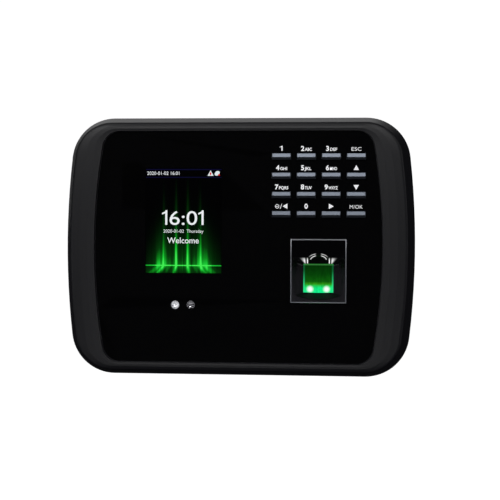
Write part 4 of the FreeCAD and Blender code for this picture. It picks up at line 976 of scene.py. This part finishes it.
class TERMINAL_OT_electronics(bpy.types.Operator):
    """Finish the boards, chips, sockets and cables, and add the network socket's contacts"""
    bl_idname = "terminal.electronics"
    bl_label = "Electronics"

    def execute(self, context):
        # Epoxy moulding compound: flat black with a fine sandy grain.
        epoxy = surface("moulding_compound", "#1a1a1c", 0.62, grain_mm=0.3, depth_mm=0.02)
        # Natural nylon, moulded: warm white and slightly waxy.
        nylon = surface("white_nylon", "#e6e2d6", 0.45, grain_mm=0.7, depth_mm=0.01, tint=0.04)
        # Polyimide film over copper: smooth amber.
        amber = surface("polyimide_film", "#b9701d", 0.3, grain_mm=1.2, depth_mm=0.004)
        # Tinned steel of the sockets' shields and plated steel of screws and spring: bright, drawn grain.
        shield = metal("socket_shield", "#cfd1d2")
        steel = metal("screw_steel", "#aeb2b6")
        for material, nodes in (
            (solder_mask(), ("main_board",)),
            (epoxy, ("processor", "memory_chips", "power_jack", "tamper_switch", "reset_switch")),
            # Blue polyester, moulded: the usual colour of a relay's cover, half gloss.
            (surface("blue_pbt", "#1f4f96", 0.4, grain_mm=0.6, depth_mm=0.01), ("door_relay",)),
            # Shrunk vinyl sleeve: dark blue, smooth and slightly rippled.
            (surface("pvc_sleeve", "#27324d", 0.35, grain_mm=0.8, depth_mm=0.01), ("capacitors",)),
            # Nickel-plated steel can of the cell: bright and hardly brushed.
            (metal("nickel_cell", "#d3d4d2"), ("clock_cell",)),
            (nylon, ("wire_headers", "board_sockets", "tamper_plunger", "reset_button")),
            (amber, ("display_ribbon", "camera_ribbon", "keypad_ribbon")),
            (shield, ("ethernet_socket", "usb_socket")),
            (steel, ("board_screws", "tamper_spring")),
        ):
            for node in nodes:
                finish(node, material)
        self.contacts()
        return {"FINISHED"}

    def contacts(self):
        """Gold contacts in the mouth of the network socket."""
        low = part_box("ethernet_socket")[0]
        # Gold flash over nickel: warm, bright and smooth.
        gold = metal("gold_flash", "#e0b65a")
        count, pitch = 8, 1.02 * MM
        first_x = middle("ethernet_socket").x - (count - 1) / 2 * pitch
        mesh = bars("ethernet_contacts", gold, (first_x, low.y + 5.4 * MM, low.z + 6.0 * MM),
                    (0.4 * MM, 0.25 * MM, 7.0 * MM), step_x=pitch, columns=count)
        new_piece("ethernet_contacts", mesh, gold, "terminal")


# ---- wall plate ----------------------------------------------------------------------------------

class TERMINAL_OT_wall_plate(bpy.types.Operator):
    """Finish the wall plate and its security screw"""
    bl_idname = "terminal.wall_plate"
    bl_label = "Wall plate"

    def execute(self, context):
        # Zinc-coated sheet steel, powder coated: mid grey with a fine orange peel.
        finish("wall_plate", surface("powder_coat", "#5c5f64", 0.5, grain_mm=1.1, depth_mm=0.03, tint=0.06))
        # Stainless steel, cold headed: bright and slightly brushed.
        finish("security_screw", metal("stainless_steel", "#c0c3c6"))
        return {"FINISHED"}


# ---- stage ---------------------------------------------------------------------------------------

# How far the lens is shifted sideways and up, in widths of the picture.
SHIFT = (0.021, -0.0068)


class TERMINAL_OT_stage(bpy.types.Operator):
    """Make the floor, the soft lights and the camera"""
    bl_idname = "terminal.stage"
    bl_label = "Stage"

    def execute(self, context):
        stage = context.scene.terminal_stage
        scene = context.scene
        scene.view_settings.view_transform = "Standard"
        self.floor(stage)
        self.lights(stage)
        self.camera(stage)
        return {"FINISHED"}

    def floor(self, stage):
        """Pale round floor that sweeps up into a wall on every side, far behind all the lights."""
        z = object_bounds()[0].z - stage.drop
        reach, bend, tall, turns = 2.4, 0.35, 5.0, 72
        quarter = [math.pi / 2 * k / 24 for k in range(25)]
        profile = [(reach - bend + bend * math.sin(t), z + bend - bend * math.cos(t)) for t in quarter]
        profile.append((reach, z + tall))
        bm = bmesh.new()
        centre = bm.verts.new((0.0, 0.0, z))
        rings = [[bm.verts.new((r * math.cos(math.tau * k / turns), r * math.sin(math.tau * k / turns), height))
                  for k in range(turns)] for r, height in profile]
        for k in range(turns):
            after = (k + 1) % turns
            bm.faces.new((centre, rings[0][k], rings[0][after]))
            for inner, outer in zip(rings, rings[1:]):
                bm.faces.new((inner[k], outer[k], outer[after], inner[after]))
        mesh = bpy.data.meshes.new("studio_floor")
        bm.to_mesh(mesh)
        bm.free()
        mesh.polygons.foreach_set("use_smooth", [True] * len(mesh.polygons))
        floor = bpy.data.objects.new("studio_floor", mesh)
        bpy.context.scene.collection.objects.link(floor)
        # Seamless paper, lit evenly from below; it neither lights the terminal nor mirrors in it.
        material, tree = blank("seamless_paper")
        shader = add(tree, "ShaderNodeBsdfPrincipled", {
            "Base Color": linear("#f4f4f4"), "Roughness": 0.9,
            "Emission Color": linear("#ffffff"), "Emission Strength": 1.0})
        add(tree, "ShaderNodeOutputMaterial", {"Surface": shader})
        mesh.materials.append(material)
        floor.visible_glossy = False
        floor.visible_diffuse = False
        floor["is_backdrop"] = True

    def lights(self, stage):
        """Large soft lights round the terminal, which the window doesn't mirror towards the camera, and two
        small lamps for the glossy pieces."""
        world = bpy.data.worlds.new("dim_room")
        world.use_nodes = True
        world.node_tree.nodes["Background"].inputs["Color"].default_value = (0.012, 0.012, 0.014, 1.0)
        bpy.context.scene.world = world
        # The two small lamps light only the glossy surround and the lenses, and give them their glints.
        shiny = bpy.data.collections.new("glossy_pieces")
        shiny.objects.link(bpy.data.objects["reader_surround"])
        shiny.objects.link(NODES["camera_lenses"])
        for name, spot, width, tall, power in (
            ("upper_softbox", (-0.15, -1.06, 0.56), 1.3, 0.36, stage.key_power),
            ("rim_softbox", (0.0, 0.42, 0.50), 0.8, 0.3, stage.rim_power),
            ("back_softbox", (-0.12, 0.62, 0.25), 0.6, 0.5, stage.back_power),
            ("low_softbox", (0.0, -0.44, -0.155), 0.5, 0.05, stage.low_power),
            ("left_softbox", (-1.05, -0.45, 0.25), 0.5, 1.1, stage.side_power),
            ("right_softbox", (1.05, -0.40, 0.25), 0.4, 1.0, stage.side_power * 0.8),
            ("left_lamp", (-0.10, -0.15, -0.15), 0.14, 0.03, stage.lamp_power),
            ("right_lamp", (0.19, -0.15, -0.15), 0.14, 0.03, stage.lamp_power),
        ):
            data = bpy.data.lights.new(name, "AREA")
            data.shape, data.size, data.size_y, data.energy = "RECTANGLE", width, tall, power
            lamp = bpy.data.objects.new(name, data)
            bpy.context.scene.collection.objects.link(lamp)
            lamp.location = spot
            lamp.visible_camera = False
            if name.endswith("lamp"):
                lamp.light_linking.receiver_collection = shiny
            lamp.rotation_euler = (-Vector(spot)).to_track_quat("-Z", "Y").to_euler()

    def camera(self, stage):
        """Camera a little to the right of straight on."""
        data = bpy.data.cameras.new("camera")
        data.lens, data.sensor_width = stage.lens, 36.0
        data.shift_x, data.shift_y = SHIFT
        camera = bpy.data.objects.new("camera", data)
        bpy.context.scene.collection.objects.link(camera)
        a, e = stage.azimuth, stage.elevation
        away = Vector((math.sin(a) * math.cos(e), -math.cos(a) * math.cos(e), math.sin(e)))
        low, high = Vector(CAD_BOX[0]), Vector(CAD_BOX[1])
        target = Vector((0.0, (low.y + high.y) / 2, (low.z + high.z) / 2))
        camera.location = target + away * stage.distance
        level = (-away).to_track_quat("-Z", "Y").to_matrix()
        camera.rotation_euler = (level @ Matrix.Rotation(stage.roll, 3, "Z")).to_euler()
        bpy.context.scene.camera = camera


# ---- panel and registration ----------------------------------------------------------------------

OPERATORS = (
    TERMINAL_OT_case, TERMINAL_OT_window, TERMINAL_OT_keypad, TERMINAL_OT_display, TERMINAL_OT_cameras,
    TERMINAL_OT_reader, TERMINAL_OT_electronics, TERMINAL_OT_wall_plate, TERMINAL_OT_stage,
)
GROUPS = {
    "terminal_case": CaseSettings, "terminal_keys": KeySettings, "terminal_display": DisplaySettings,
    "terminal_reader": ReaderSettings, "terminal_stage": StageSettings,
}


class TERMINAL_PT_panel(bpy.types.Panel):
    """The terminal's settings and steps"""
    bl_idname = "TERMINAL_PT_panel"
    bl_label = "Fingerprint terminal"
    bl_space_type = "VIEW_3D"
    bl_region_type = "UI"
    bl_category = "Terminal"

    def draw(self, context):
        for group in GROUPS:
            settings = getattr(context.scene, group)
            column = self.layout.column()
            for name in settings.__annotations__:
                column.prop(settings, name)
        for operator in OPERATORS:
            self.layout.operator(operator.bl_idname)


def register():
    for group, kind in GROUPS.items():
        bpy.utils.register_class(kind)
        setattr(bpy.types.Scene, group, PointerProperty(type=kind))
    for kind in OPERATORS + (TERMINAL_PT_panel,):
        bpy.utils.register_class(kind)


def unregister():
    for kind in reversed(OPERATORS + (TERMINAL_PT_panel,)):
        bpy.utils.unregister_class(kind)
    for group, kind in reversed(GROUPS.items()):
        delattr(bpy.types.Scene, group)
        bpy.utils.unregister_class(kind)


def main():
    """Makes the whole terminal and its stage."""
    register()
    for kind in OPERATORS:
        getattr(bpy.ops.terminal, kind.bl_idname.split(".")[1])()


if __name__ == "__main__":
    main()
